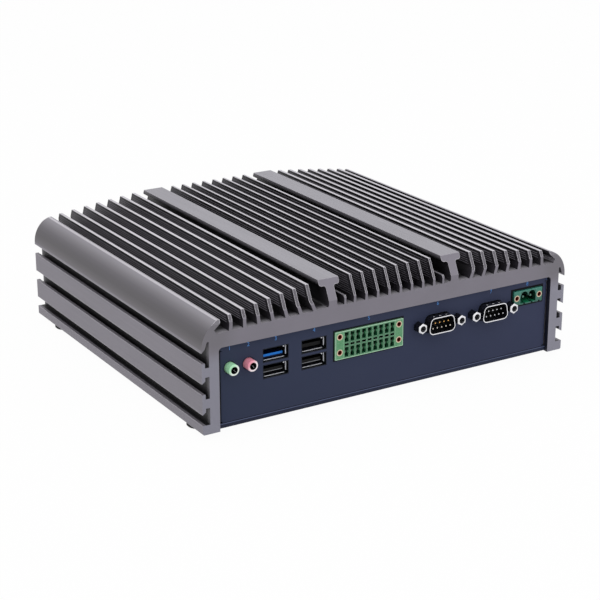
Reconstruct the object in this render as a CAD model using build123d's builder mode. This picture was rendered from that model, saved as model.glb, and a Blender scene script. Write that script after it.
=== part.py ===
from build123d import *
import os
from math import radians, tan

# Fanless industrial computer, in millimetres.
# X runs across the connector side, -Y faces the viewer of that side and Z points up.
# The origin is on the ground under the feet, at the middle of the whole outline.
os.makedirs("parts", exist_ok=True)

# Overall sizes
CHASSIS_D = 205.6
FOOT_H = 3.5
FOOT_R = 6.0
FOOT_SIDE_INSET = 8.0
FOOT_END_INSET = 20.3

# Folded sheets: the front panel with its foot, and the base tray with the rear panel
SHEET_T = 1.5
PANEL_INSET = 2.0
BASE_INSET = 0.8
BEND_R = 2.6
PANEL_FOOT_L = 14.0
PANEL_EDGE_L = 6.0
PANEL_EDGE_R = 2.0
RELIEF_W = 2.2
RELIEF_H = 0.7
TRAY_GAP = 0.4
HOLE_GAP = 0.5
TOUCHING = 0.1

# Row of front connectors: steps from the left edge of the opening to each axis in turn
AUDIO_STEP = 6.95
AUDIO_PITCH = 10.5
PORT_STEP = 15.55
PORT_SPACING = 22.3
SIGNAL_STEP = 32.85
SERIAL_STEP = 43.25
SERIAL_SPACING = 34.9
DC_STEP = 24.7
DC_MARGIN = 14.6

# How far the front connectors stand out from the panel
SCREW_REACH = 5.0
SHELL_REACH = 4.8
AUDIO_REACH = 4.7
HEADER_REACH = 1.0

FRONT_PROUD = max(SCREW_REACH, SHELL_REACH, AUDIO_REACH) - PANEL_INSET
BACK_Y = (CHASSIS_D + FRONT_PROUD) / 2
FRONT_Y = BACK_Y - CHASSIS_D
MID_Y = (FRONT_Y + BACK_Y) / 2
PANEL_Y = FRONT_Y + PANEL_INSET
REAR_Y = BACK_Y - PANEL_INSET
BASE_Z = FOOT_H

# Chassis section, heights above the chassis underside
WALL_T = 5.4
GROOVE_DEPTH = 4.15
DECK_UNDER = 43.9
DECK_T = 9.0
DECK_FALL = 1.4
OPENING_R = 2.0
OPEN_HALF = (
    AUDIO_STEP + AUDIO_PITCH + PORT_STEP + PORT_SPACING + SIGNAL_STEP
    + SERIAL_STEP + SERIAL_SPACING + DC_STEP + DC_MARGIN
) / 2
WALL_HALF = OPEN_HALF + WALL_T
SIDE_HALF = WALL_HALF + GROOVE_DEPTH
CHASSIS_W = 2 * SIDE_HALF
DECK_TOP = DECK_UNDER + DECK_T

# Side ribs, which are T-shaped, with a bevel under each flange
SKIRT_H = 5.1
SKIRT_R = 0.8
RIB_FIRST_Z = 16.0
RIB_PITCH = 16.2
RIB_COUNT = 2
RIB_FLANGE_H = 10.6
RIB_FLANGE_T = 1.85
RIB_STEM_H = 4.9
RIB_STEM_RISE = 0.4
RIB_BEVEL = 1.4

# Rounded shoulder and its lips
SHOULDER_R = 15.0
SHOULDER_Z = 44.3
LIP_DROP = 1.4
LIP_GROOVE_H = 3.9
LIP_GROOVE_W = 1.0
TIP_INSET = 9.35
TIP_W = 1.4
BEAD_H = 1.3
BEAD_W = 1.1
SLOT_REACH = 7.2
SLOT_H = 2.0
SLOT_CORNER = 1.3

# Fins
FIN_ROOT_SINK = 1.5
MID_FINS = 8
MID_PITCH = 7.0
MID_TOP = 66.4
MID_ROOT_T = 1.9
MID_TIP_T = 1.3
SHORT_X = 30.3
SHORT_TOP = 57.5
SHORT_T = 1.2
SIDE_ROOT_X = 47.6
SIDE_ROOT_PITCH = 8.1
SIDE_TIP_X = 50.3
SIDE_TIP_PITCH = 7.6
SIDE_TOP = 65.65
SIDE_DROP = 0.79
SIDE_DROP_GROWTH = 0.04
SIDE_KINK_Z = 58.0
SIDE_KINK_DROP = 0.6
SIDE_ROOT_T = 2.1
SIDE_TIP_T = 1.8
SIDE_MARGIN = 5.0
SIDE_FINS = int((OPEN_HALF - SIDE_MARGIN - SIDE_ROOT_X) / SIDE_ROOT_PITCH) + 1
FIN_ROOT_R = 0.8

# Top mounting rails
RAIL_X = 37.6
RAIL_TOP = 66.6
RAIL_W = 12.0
RAIL_T = 3.2
RAIL_STEM_T = 4.8
RAIL_ROOT_R = 1.5
RAIL_EDGE_R = 1.4
RAIL_NECK_R = 1.2

# The fins and rails are cut back at both ends above this height
SLANT_Z = 56.2
SLANT_SPARE = 1.0
SLANT_DEG = 26.0

# Inside: board, its carriers and the pillars that hold the tray
BOARD_RISE = 22.3
BOARD_TOP = BASE_Z + BOARD_RISE
BOARD_T = 1.6
BOARD_GAP = 0.5
BOARD_SIDE_GAP = 4.0
PANEL_LOW = BASE_Z + BASE_INSET
TRAY_LOW = PANEL_LOW + SHEET_T
TRAY_FLOOR = TRAY_LOW + SHEET_T
DECK_UNDER_Z = BASE_Z + DECK_UNDER
THREAD_R = 1.25
THREAD_GAP = 0.1
PILLAR_SIDE_INSET = 8.8
PILLAR_END_INSET = 42.8
PILLAR_X = OPEN_HALF - PILLAR_SIDE_INSET
PILLAR_Y = CHASSIS_D / 2 - PILLAR_END_INSET
PILLAR_AF = 5.5
PILLAR_STUD_L = 5.0
PILLAR_PASS_GAP = 0.8
TAP_SPARE = 1.0
SCREW_HEAD_R = 2.9
SCREW_HEAD_H = 1.4
TRAY_SCREW_L = 7.0
STANDOFF_SIDE_INSET = 24.8
STANDOFF_END_INSET = 40.8
STANDOFF_X = OPEN_HALF - STANDOFF_SIDE_INSET
STANDOFF_Y = CHASSIS_D / 2 - STANDOFF_END_INSET
STANDOFF_AF = 5.0
BOARD_SCREW_L = 6.0
PAN_HEAD_R = 2.7
PAN_HEAD_H = 2.0
BOARD_HOLE_R = 1.7

# Processor and the block that carries its heat to the deck
CPU_Y = 6.0
CPU_SIZE = 37.5
CPU_T = 1.2
DIE_L = 14.0
DIE_W = 10.0
DIE_T = 0.8
PAD_T = 0.5
BLOCK_L = 62.0
BLOCK_W = 56.0
BLOCK_BOLT_INSET = 6.0
BLOCK_BORE_R = 1.7
BLOCK_SINK_R = 3.0
BLOCK_SINK_H = 4.0
BLOCK_HEAD_H = 3.0
BLOCK_SCREW_BITE = 5.0

# Memory, storage, cell and power parts on the board
MEMORY_BLOCK_GAP = 3.0
MEMORY_Y = 0.0
MEMORY_SOCKET_W = 7.0
MEMORY_X = (BLOCK_L + MEMORY_SOCKET_W) / 2 + MEMORY_BLOCK_GAP
MEMORY_SOCKET_H = 5.2
MEMORY_L = 67.6
MEMORY_W = 30.0
MEMORY_T = 1.2
MEMORY_LIFT = 2.6
MEMORY_BITE = 3.5
MEMORY_ARM_W = 1.8
MEMORY_SOCKET_L = MEMORY_L + HOLE_GAP + 2 * MEMORY_ARM_W
MEMORY_CHIP_L = 13.0
MEMORY_CHIP_W = 9.0
MEMORY_CHIP_PITCH = 16.0
MEMORY_CHIP_STEP = 12.0
CARD_INSET = 50.8
CARD_X = CARD_INSET - OPEN_HALF
CARD_W = 22.0
CARD_L = 80.0
CARD_T = 0.8
CARD_LIFT = 2.4
CARD_SOCKET_W = 22.9
CARD_SOCKET_L = 8.7
CARD_SOCKET_H = 4.2
CARD_BITE = 4.0
CARD_CHIP_W = 12.0
CARD_CHIP_L = 14.0
CARD_CHIP_PITCH = 18.0
CARD_POST_GAP = 4.0
POST_R = 2.8
POST_NOTCH_R = 1.75
CHIP_H = 1.1
CELL_STEP = 2.0
CELL_X = CARD_X + CELL_STEP
CELL_BACK_GAP = 8.0
CELL_R = 10.0
CELL_T = 3.2
CELL_WALL = 1.2
CELL_FLOOR = 0.8
CHOKE_SIZE = 7.0
CHOKE_H = 4.5
CHOKE_R = 1.0
CHOKE_PITCH = 10.0
CHOKE_COUNT = 5
CHOKE_Y = 50.0
CAP_R = 4.0
CAP_H = 9.0
CAP_RIM = 0.4
CAP_PITCH = 12.0
CAP_COUNT = 5
CAP_Y = -56.0

# Audio jacks
AUDIO_LEFT_X = AUDIO_STEP - OPEN_HALF
AUDIO_X = (AUDIO_LEFT_X, AUDIO_LEFT_X + AUDIO_PITCH)
AUDIO_NAMES = ("audio_jack_green", "audio_jack_pink")
AUDIO_RISE = 31.8
AUDIO_Z = BASE_Z + AUDIO_RISE
AUDIO_R = 2.9
AUDIO_BORE_R = 1.8
AUDIO_BORE_L = 14.0
AUDIO_EDGE_R = 0.4
AUDIO_BODY_W = 9.6
AUDIO_BODY_L = 12.5
AUDIO_BODY_RISE = 5.0

# Stacked ports
PORT_LEFT_X = AUDIO_X[-1] + PORT_STEP
PORT_X = (PORT_LEFT_X, PORT_LEFT_X + PORT_SPACING)
PORT_NAMES = ("left", "right")
PORT_RISE = 25.25
PORT_LOW_Z = BASE_Z + PORT_RISE
PORT_PITCH = 8.6
PORT_W = 13.1
PORT_H = 5.6
PORT_SHEET = 0.45
PORT_L = 17.5
PORT_BACK = 0.3
PORT_WINDOW_W = 14.4
PORT_WINDOW_H = 6.8
PORT_WINDOW_R = 0.6
TONGUE_W = 11.1
TONGUE_T = 1.9
TONGUE_L = 9.3
TONGUE_DROP = 0.6
FAST_TONGUE_DROP = 1.5
PORT_MOUTH_L = 10.5
SPRING_X = 4.2
SPRING_W = 1.4
SPRING_H = 0.5
SPRING_L = 3.0

# Two-row signal header with nine columns between two flanged ends
SIGNAL_X = PORT_X[-1] + SIGNAL_STEP
SIGNAL_RISE = 30.6
SIGNAL_Z = BASE_Z + SIGNAL_RISE
SIGNAL_H = 15.0
SIGNAL_L = 12.0
SIGNAL_COUNT = 9
ROW_COUNT = 2
SIGNAL_PITCH = 3.5
SIGNAL_SIDE_WALL = 0.55
SIGNAL_END_W = 4.95
SIGNAL_CELL_W = 2.5
SIGNAL_CELL_H = 5.3
SIGNAL_CELL_RISE = 4.0
SIGNAL_CELL_L = 8.0
SIGNAL_SLOT_H = 1.2
SIGNAL_NUT_INSET = 2.6
SIGNAL_NUT_Z = 4.25
SIGNAL_NUT_LIFT = 0.5
SIGNAL_FOOT_W = 2.0
SIGNAL_CORE_W = (SIGNAL_COUNT - 1) * SIGNAL_PITCH + SIGNAL_CELL_W + 2 * SIGNAL_SIDE_WALL
SIGNAL_W = SIGNAL_CORE_W + 2 * SIGNAL_END_W
SIGNAL_NUT_X = SIGNAL_W / 2 - SIGNAL_NUT_INSET
PIN_W = 1.0
PIN_TAIL = 2.0
NUT_R = 1.75
NUT_BORE_R = 1.15
NUT_L = 5.0

# Serial ports with nine pins
SERIAL_LEFT_X = SIGNAL_X + SERIAL_STEP
SERIAL_X = (SERIAL_LEFT_X, SERIAL_LEFT_X + SERIAL_SPACING)
SERIAL_RISE = 31.3
SERIAL_Z = BASE_Z + SERIAL_RISE
SERIAL_W = 17.6
SERIAL_H = 9.2
SERIAL_R = 2.8
SERIAL_SIDE_DEG = 80.0
SERIAL_SHEET = 0.5
SERIAL_FLANGE_W = 29.6
SERIAL_FLANGE_H = 12.4
SERIAL_FLANGE_T = 0.8
SERIAL_FLANGE_R = 1.5
SERIAL_BODY_L = 12.0
SERIAL_BODY_W = 19.0
SERIAL_PIN_R = 0.5
SERIAL_PIN_PITCH = 2.77
SERIAL_ROW_PITCH = 2.84
SERIAL_PIN_SHY = 0.8
DIMPLE_R = 0.75
DIMPLE_PITCH = 3.9
DIMPLE_DEPTH = 0.2
JACK_SPACING = 24.99
JACK_AF = 5.0
JACK_BORE_R = 1.4
JACK_EDGE = 0.4
JACK_BORE_L = 4.5
JACK_SHANK_R = 1.4
JACK_SHANK_L = 6.0

# Two-pin power header on its own small board
DC_X = SERIAL_X[-1] + DC_STEP
DC_RISE = 35.0
DC_Z = BASE_Z + DC_RISE
DC_H = 7.8
DC_L = 12.0
DC_PITCH = 5.08
DC_REACH = 1.2
DC_WALL = 0.6
DC_SIDE_WALL = 0.3
DC_CAVITY_W = 10.6
DC_CAVITY_L = 9.0
DC_SCALLOP_R = 2.5
DC_NOTCH_W = 1.3
DC_NOTCH_L = 3.0
DC_END_W = 3.95
DC_NUT_INSET = 1.93
DC_CORE_W = DC_CAVITY_W + 2 * DC_SIDE_WALL
DC_W = DC_CORE_W + 2 * DC_END_W
DC_NUT_X = DC_W / 2 - DC_NUT_INSET
DC_BOARD_W = 19.0
DC_BOARD_L = 26.0
DC_SPACER_R = 2.2
DC_SPACER_X = 7.0
DC_SPACER_Y = 9.0

# Rear panel: network jacks, video jacks, power button and indicators
NETWORK_INSET = 28.8
NETWORK_PITCH = 20.0
NETWORK_END_X = NETWORK_INSET - OPEN_HALF
NETWORK_X = (NETWORK_END_X, NETWORK_END_X + NETWORK_PITCH)
NETWORK_W = 16.0
NETWORK_H = 13.4
NETWORK_L = 21.0
NETWORK_SHEET = 0.5
NETWORK_PLUG_W = 11.9
NETWORK_PLUG_H = 7.2
NETWORK_PLUG_L = 13.0
NETWORK_LATCH_W = 6.2
NETWORK_LATCH_H = 2.4
VIDEO_STEP = 32.0
VIDEO_PITCH = 28.0
VIDEO_END_X = NETWORK_X[-1] + VIDEO_STEP
VIDEO_X = (VIDEO_END_X, VIDEO_END_X + VIDEO_PITCH)
VIDEO_W = 16.6
VIDEO_H = 5.9
VIDEO_CUT = 2.0
VIDEO_L = 12.0
VIDEO_SHEET = 0.4
VIDEO_LIFT = 3.0
VIDEO_TONGUE_W = 12.8
VIDEO_TONGUE_T = 1.3
VIDEO_CORE_L = 4.0
VIDEO_TONGUE_SHY = 1.0
BUTTON_INSET = 18.8
BUTTON_X = OPEN_HALF - BUTTON_INSET
BUTTON_RISE = 30.0
BUTTON_Z = BASE_Z + BUTTON_RISE
BUTTON_R = 4.7
BUTTON_GAP = 0.3
BUTTON_FACE = 1.9
BUTTON_TRAVEL = 1.5
BUTTON_HEAD_L = 4.0
BUTTON_DISH = 0.4
BUTTON_STEM_R = 1.5
BUTTON_BITE = 2.0
BEZEL_R = 7.5
BEZEL_T = 1.2
BEZEL_WALL = 1.0
BEZEL_NUT_AF = 15.0
BEZEL_NUT_T = 2.5
SWITCH_L = 9.0
INDICATOR_STEP = 16.0
INDICATOR_X = BUTTON_X - INDICATOR_STEP
INDICATOR_RISE = 27.0
INDICATOR_PITCH = 6.0
INDICATOR_Z = (BASE_Z + INDICATOR_RISE, BASE_Z + INDICATOR_RISE + INDICATOR_PITCH)
INDICATOR_R = 1.5
INDICATOR_L = 6.0
INDICATOR_CARRIER_W = 6.0
INDICATOR_CARRIER_L = 5.0


def front(x, z, out=0.0):
    """Plane on the front panel's face, looking out along -Y, with its origin at x and z."""
    return Plane(origin=(x, PANEL_Y - out, z), x_dir=(1, 0, 0), z_dir=(0, -1, 0))


def rear(x, z, out=0.0):
    """Plane on the rear panel's face, looking out along +Y, with its origin at x and z."""
    return Plane(origin=(x, REAR_Y + out, z), x_dir=(-1, 0, 0), z_dir=(0, 1, 0))


def level(x, y, z):
    """Level plane with its origin at the given point."""
    return Plane(origin=(x, y, z))


def deck_height(x):
    """Height of the floor between the fins, which falls towards the shoulders."""
    run = OPEN_HALF - RAIL_X
    return DECK_TOP - DECK_FALL * max(0.0, abs(x) - RAIL_X) / run


def fin(root_x, tip_x, kink_z, top_z, root_t, tip_t):
    """Fin that leans from its root to the kink and stands upright above it."""
    low = deck_height(root_x) - FIN_ROOT_SINK
    Polygon(
        (root_x - root_t / 2, low),
        (tip_x - tip_t / 2, kink_z),
        (tip_x - tip_t / 2, top_z),
        (tip_x + tip_t / 2, top_z),
        (tip_x + tip_t / 2, kink_z),
        (root_x + root_t / 2, low),
        align=None,
    )


def d_outline(grow):
    """Rounded D outline of a serial port, with its wide side down, grown by the given margin."""
    Trapezoid(SERIAL_W + 2 * grow, SERIAL_H + 2 * grow, SERIAL_SIDE_DEG)


# Chassis: one aluminium extrusion with deck, side walls, ribs, rails and fins
SECTION = Plane(origin=(0, BACK_Y, BASE_Z), x_dir=(1, 0, 0), z_dir=(0, -1, 0))
TIP_X = SIDE_HALF - TIP_INSET
SHOULDER_X = SIDE_HALF - SHOULDER_R
TIP_Z = SHOULDER_Z + (SHOULDER_R**2 - (TIP_X - SHOULDER_X) ** 2) ** 0.5
SLOT_FLOOR = deck_height(OPEN_HALF)
SLOT_X = SIDE_HALF - SLOT_REACH
LIP_LOW = SHOULDER_Z - LIP_DROP
FLANGE_X = SIDE_HALF - RIB_FLANGE_T
MIDDLE_X = SHOULDER_X + SHOULDER_R * 0.5**0.5
MIDDLE_Z = SHOULDER_Z + SHOULDER_R * 0.5**0.5

with BuildPart() as chassis:
    with BuildSketch(SECTION) as section:
        # Right half of the deck, the wall and the shoulder
        with BuildLine():
            Polyline(
                (0, DECK_TOP),
                (0, DECK_UNDER),
                (OPEN_HALF, DECK_UNDER),
                (OPEN_HALF, 0),
                (SIDE_HALF, 0),
                (SIDE_HALF, SKIRT_H),
                (WALL_HALF, SKIRT_H),
                (WALL_HALF, SHOULDER_Z + LIP_GROOVE_H),
                (WALL_HALF + LIP_GROOVE_W, SHOULDER_Z + LIP_GROOVE_H),
                (FLANGE_X, LIP_LOW + RIB_FLANGE_T),
                (SIDE_HALF, LIP_LOW),
                (SIDE_HALF, SHOULDER_Z),
            )
            ThreePointArc((SIDE_HALF, SHOULDER_Z), (MIDDLE_X, MIDDLE_Z), (TIP_X, TIP_Z))
            Polyline(
                (TIP_X, TIP_Z),
                (TIP_X - TIP_W, TIP_Z),
                (TIP_X - TIP_W, TIP_Z - BEAD_H),
                (TIP_X - TIP_W + BEAD_W, TIP_Z - 2 * BEAD_H),
                (SLOT_X, SLOT_FLOOR + SLOT_H),
                (SLOT_X - SLOT_CORNER, SLOT_FLOOR),
                (OPEN_HALF, SLOT_FLOOR),
                (RAIL_X, DECK_TOP),
                (0, DECK_TOP),
            )
        make_face()
        opening = section.vertices().sort_by_distance((OPEN_HALF, DECK_UNDER))[0]
        fillet(opening, OPENING_R)
        skirt_edge = section.vertices().sort_by_distance((SIDE_HALF, 0))[0]
        fillet(skirt_edge, SKIRT_R)

        # Ribs of the side wall
        for rib in range(RIB_COUNT):
            rib_z = RIB_FIRST_Z + rib * RIB_PITCH
            with Locations((WALL_HALF, rib_z + RIB_STEM_RISE)):
                Rectangle(GROOVE_DEPTH, RIB_STEM_H, align=(Align.MIN, Align.CENTER))
            with BuildLine():
                Polyline(
                    (FLANGE_X, rib_z + RIB_FLANGE_H / 2),
                    (SIDE_HALF, rib_z + RIB_FLANGE_H / 2),
                    (SIDE_HALF, rib_z - RIB_FLANGE_H / 2),
                    (FLANGE_X, rib_z - RIB_FLANGE_H / 2 + RIB_BEVEL),
                    close=True,
                )
            make_face()

        # Fins between the rail and the shoulder
        for k in range(SIDE_FINS):
            fin(
                SIDE_ROOT_X + k * SIDE_ROOT_PITCH,
                SIDE_TIP_X + k * SIDE_TIP_PITCH,
                SIDE_KINK_Z - k * SIDE_KINK_DROP,
                SIDE_TOP - k * SIDE_DROP - k**2 * SIDE_DROP_GROWTH,
                SIDE_ROOT_T,
                SIDE_TIP_T,
            )

        # Straight fins of the middle, right of the centre line, and the short fin
        for k in range(MID_FINS // 2):
            fin_x = (k + 0.5) * MID_PITCH
            fin(fin_x, fin_x, SLANT_Z, MID_TOP, MID_ROOT_T, MID_TIP_T)
        fin(SHORT_X, SHORT_X, SLANT_Z, SHORT_TOP, SHORT_T, SHORT_T)

        # Rail
        with Locations((RAIL_X, RAIL_TOP)):
            Rectangle(RAIL_W, RAIL_T, align=(Align.CENTER, Align.MAX))
            Rectangle(RAIL_STEM_T, RAIL_TOP - DECK_UNDER - RAIL_T, align=(Align.CENTER, Align.MAX))
        rail_low = RAIL_TOP - RAIL_T
        rail_edges = section.vertices().filter_by(lambda v: abs(v.Y - rail_low) < RAIL_T / 4)
        rail_edges = rail_edges.filter_by(lambda v: abs(abs(v.X - RAIL_X) - RAIL_W / 2) < RAIL_T / 4)
        fillet(rail_edges, RAIL_EDGE_R)
        necks = section.vertices().sort_by_distance((RAIL_X, rail_low))[:2]
        fillet(necks, RAIL_NECK_R)

        # Rounded roots of the fins and rails
        roots = section.vertices().filter_by(
            lambda v: 0 < v.X < OPEN_HALF - OPENING_R and abs(v.Y - deck_height(v.X)) < TOUCHING
        )
        rail_roots = roots.filter_by(lambda v: abs(abs(v.X - RAIL_X) - RAIL_STEM_T / 2) < TOUCHING)
        fin_roots = roots.filter_by(lambda v: abs(v.X - RAIL_X) > RAIL_STEM_T / 2 + TOUCHING)
        fillet(rail_roots, RAIL_ROOT_R)
        fillet(fin_roots, FIN_ROOT_R)
        mirror(about=Plane.YZ)
    extrude(amount=CHASSIS_D)

    # Slanted ends of the fins and rails
    fin_height = RAIL_TOP - SLANT_Z + SLANT_SPARE
    set_back = fin_height * tan(radians(SLANT_DEG))
    slant_z = BASE_Z + SLANT_Z
    with BuildSketch(Plane.YZ) as slants:
        for end_y, inward in ((FRONT_Y, 1), (BACK_Y, -1)):
            with BuildLine():
                Polyline(
                    (end_y, slant_z),
                    (end_y + inward * set_back, slant_z + fin_height),
                    (end_y, slant_z + fin_height),
                    close=True,
                )
            make_face()
    extrude(amount=CHASSIS_W, both=True, mode=Mode.SUBTRACT)

    # Tapped holes under the deck for the pillars and the heat block
    with BuildSketch(Plane.XY.offset(DECK_UNDER_Z)) as taps:
        with Locations((0, MID_Y)):
            with GridLocations(2 * PILLAR_X, 2 * PILLAR_Y, 2, 2):
                Circle(THREAD_R)
        with Locations((0, CPU_Y)):
            with GridLocations(BLOCK_L - 2 * BLOCK_BOLT_INSET, BLOCK_W - 2 * BLOCK_BOLT_INSET, 2, 2):
                Circle(THREAD_R)
    extrude(amount=PILLAR_STUD_L + TAP_SPARE, mode=Mode.SUBTRACT)
chassis.part.label = "chassis"
export_step(chassis.part, "parts/chassis.step")


# Front panel: one sheet with a foot folded back under the tray and turned side edges
TRAY_HALF = OPEN_HALF - TRAY_GAP
TRAY_HIGH = DECK_UNDER_Z - TRAY_GAP
NETWORK_Z = BOARD_TOP + NETWORK_H / 2
VIDEO_Z = BOARD_TOP + VIDEO_LIFT + VIDEO_H / 2

with BuildPart() as front_panel:
    with BuildSketch(Plane.YZ) as panel_fold:
        with Locations((PANEL_Y, PANEL_LOW)):
            Rectangle(PANEL_FOOT_L, TRAY_HIGH - PANEL_LOW, align=(Align.MIN, Align.MIN))
        fillet(panel_fold.vertices().group_by(Axis.Y)[0].group_by(Axis.X)[0], BEND_R)
    extrude(amount=TRAY_HALF, both=True)
    with BuildSketch(Plane.YZ) as panel_inside:
        with Locations((PANEL_Y + SHEET_T, TRAY_LOW)):
            Rectangle(PANEL_FOOT_L, TRAY_HIGH - TRAY_LOW, align=(Align.MIN, Align.MIN))
        fillet(panel_inside.vertices().group_by(Axis.Y)[0].group_by(Axis.X)[0], BEND_R - SHEET_T)
    extrude(amount=TRAY_HALF, both=True, mode=Mode.SUBTRACT)
    panel_corners = front_panel.edges().filter_by(Axis.Y).group_by(Axis.Z)[-1]
    fillet(panel_corners, OPENING_R)

    # Side edges turned back between bend reliefs
    edge_low = PANEL_LOW + BEND_R + RELIEF_H
    edge_high = TRAY_HIGH - OPENING_R - RELIEF_H
    with BuildSketch(front(0, edge_low)):
        with GridLocations(2 * TRAY_HALF, 1, 2, 1):
            Rectangle(2 * RELIEF_W, RELIEF_H, align=(Align.CENTER, Align.MAX))
    extrude(amount=-SHEET_T, mode=Mode.SUBTRACT)
    with BuildSketch(front(0, edge_high)):
        with GridLocations(2 * TRAY_HALF, 1, 2, 1):
            Rectangle(2 * RELIEF_W, RELIEF_H, align=(Align.CENTER, Align.MIN))
    extrude(amount=-SHEET_T, mode=Mode.SUBTRACT)
    with BuildSketch(level(0, PANEL_Y, edge_low)):
        with GridLocations(2 * TRAY_HALF - SHEET_T, 1, 2, 1):
            Rectangle(SHEET_T, PANEL_EDGE_L, align=(Align.CENTER, Align.MIN))
    extrude(amount=edge_high - edge_low)
    upright = front_panel.edges().filter_by(Axis.Z)
    outer_bends = upright.filter_by(lambda e: abs(e.center().Y - PANEL_Y) < TOUCHING)
    outer_bends = outer_bends.filter_by(lambda e: abs(e.center().X) > TRAY_HALF - TOUCHING)
    fillet(outer_bends.sort_by(SortBy.LENGTH)[-2:], PANEL_EDGE_R)
    upright = front_panel.edges().filter_by(Axis.Z)
    inner_bends = upright.filter_by(lambda e: abs(e.center().Y - PANEL_Y - SHEET_T) < TOUCHING)
    inner_x = TRAY_HALF - SHEET_T
    inner_bends = inner_bends.filter_by(lambda e: abs(abs(e.center().X) - inner_x) < TOUCHING)
    fillet(inner_bends, PANEL_EDGE_R - SHEET_T)

    # Windows of the front panel
    with BuildSketch(front(0, 0)) as windows:
        with Locations(*[(x, AUDIO_Z) for x in AUDIO_X]):
            Circle(AUDIO_R + HOLE_GAP / 2)
        for x in PORT_X:
            with Locations((x, PORT_LOW_Z), (x, PORT_LOW_Z + PORT_PITCH)):
                RectangleRounded(PORT_WINDOW_W, PORT_WINDOW_H, PORT_WINDOW_R)
        with Locations((SIGNAL_X, SIGNAL_Z)):
            Rectangle(SIGNAL_W + HOLE_GAP, SIGNAL_H + HOLE_GAP)
        with Locations((DC_X, DC_Z)):
            Rectangle(DC_W + HOLE_GAP, DC_H + HOLE_GAP)
    extrude(amount=-SHEET_T, mode=Mode.SUBTRACT)
    with BuildSketch(front(0, 0)) as serial_windows:
        with Locations(*[(x, SERIAL_Z) for x in SERIAL_X]):
            d_outline(HOLE_GAP)
        fillet(serial_windows.vertices(), SERIAL_R + HOLE_GAP)
        for x in SERIAL_X:
            with Locations((x, SERIAL_Z)):
                with GridLocations(JACK_SPACING, 1, 2, 1):
                    Circle(JACK_SHANK_R + HOLE_GAP / 2)
    extrude(amount=-SHEET_T, mode=Mode.SUBTRACT)
front_panel.part.label = "front_panel"
export_step(front_panel.part, "parts/front_panel.step")


# Base tray: one sheet folded up at the back into the rear panel
TRAY_FRONT_Y = PANEL_Y + BEND_R

with BuildPart() as base_tray:
    with BuildSketch(Plane.YZ) as fold:
        with Locations((TRAY_FRONT_Y, TRAY_LOW)):
            Rectangle(REAR_Y - TRAY_FRONT_Y, TRAY_HIGH - TRAY_LOW, align=(Align.MIN, Align.MIN))
        fillet(fold.vertices().group_by(Axis.Y)[0].group_by(Axis.X)[-1], BEND_R)
    extrude(amount=TRAY_HALF, both=True)
    with BuildSketch(Plane.YZ) as inside:
        with Locations((TRAY_FRONT_Y, TRAY_FLOOR)):
            Rectangle(REAR_Y - TRAY_FRONT_Y - SHEET_T, TRAY_HIGH - TRAY_FLOOR, align=(Align.MIN, Align.MIN))
        fillet(inside.vertices().group_by(Axis.Y)[0].group_by(Axis.X)[-1], BEND_R - SHEET_T)
    extrude(amount=TRAY_HALF, both=True, mode=Mode.SUBTRACT)
    corners = base_tray.edges().filter_by(Axis.Y).group_by(Axis.Z)[-1]
    fillet(corners, OPENING_R)

    # Windows of the rear panel
    with BuildSketch(rear(0, 0)) as rear_windows:
        with Locations(*[(-x, NETWORK_Z) for x in NETWORK_X]):
            Rectangle(NETWORK_W + HOLE_GAP, NETWORK_H + HOLE_GAP)
        with Locations(*[(-x, VIDEO_Z) for x in VIDEO_X]):
            Rectangle(VIDEO_W + HOLE_GAP, VIDEO_H + HOLE_GAP)
        with Locations((-BUTTON_X, BUTTON_Z)):
            Circle(BUTTON_R + BUTTON_GAP + BEZEL_WALL + HOLE_GAP / 2)
        with Locations(*[(-INDICATOR_X, z) for z in INDICATOR_Z]):
            Circle(INDICATOR_R + HOLE_GAP / 4)
    extrude(amount=-SHEET_T, mode=Mode.SUBTRACT)

    # Countersunk holes for the screws that hold the tray to the pillars
    with Locations(Plane(origin=(0, MID_Y, TRAY_LOW), z_dir=(0, 0, -1))):
        with GridLocations(2 * PILLAR_X, 2 * PILLAR_Y, 2, 2):
            CounterSinkHole(THREAD_R + HOLE_GAP, SCREW_HEAD_R + HOLE_GAP / 4, depth=SHEET_T)
base_tray.part.label = "base_tray"
export_step(base_tray.part, "parts/base_tray.step")


# Pillars between the tray and the deck
with BuildPart() as pillars:
    with BuildSketch(level(0, MID_Y, TRAY_FLOOR)) as hexes:
        with GridLocations(2 * PILLAR_X, 2 * PILLAR_Y, 2, 2):
            RegularPolygon(PILLAR_AF / 2, 6, major_radius=False)
    extrude(amount=DECK_UNDER_Z - TRAY_FLOOR)
    with BuildSketch(level(0, MID_Y, DECK_UNDER_Z)) as studs:
        with GridLocations(2 * PILLAR_X, 2 * PILLAR_Y, 2, 2):
            Circle(THREAD_R - THREAD_GAP)
    extrude(amount=PILLAR_STUD_L)
    with BuildSketch(level(0, MID_Y, TRAY_FLOOR)) as pillar_taps:
        with GridLocations(2 * PILLAR_X, 2 * PILLAR_Y, 2, 2):
            Circle(THREAD_R)
    extrude(amount=TRAY_SCREW_L + TAP_SPARE, mode=Mode.SUBTRACT)
pillars.part.label = "pillars"
export_step(pillars.part, "parts/pillars.step")

# Countersunk screws of the tray, flush with its underside
with BuildPart() as tray_screws:
    with BuildSketch(level(0, MID_Y, TRAY_LOW)) as heads:
        with GridLocations(2 * PILLAR_X, 2 * PILLAR_Y, 2, 2):
            Circle(SCREW_HEAD_R)
    extrude(amount=SCREW_HEAD_H, taper=45)
    with BuildSketch(level(0, MID_Y, TRAY_LOW)) as shanks:
        with GridLocations(2 * PILLAR_X, 2 * PILLAR_Y, 2, 2):
            Circle(THREAD_R - THREAD_GAP)
    extrude(amount=TRAY_SCREW_L)
tray_screws.part.label = "tray_screws"
export_step(tray_screws.part, "parts/tray_screws.step")

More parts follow.
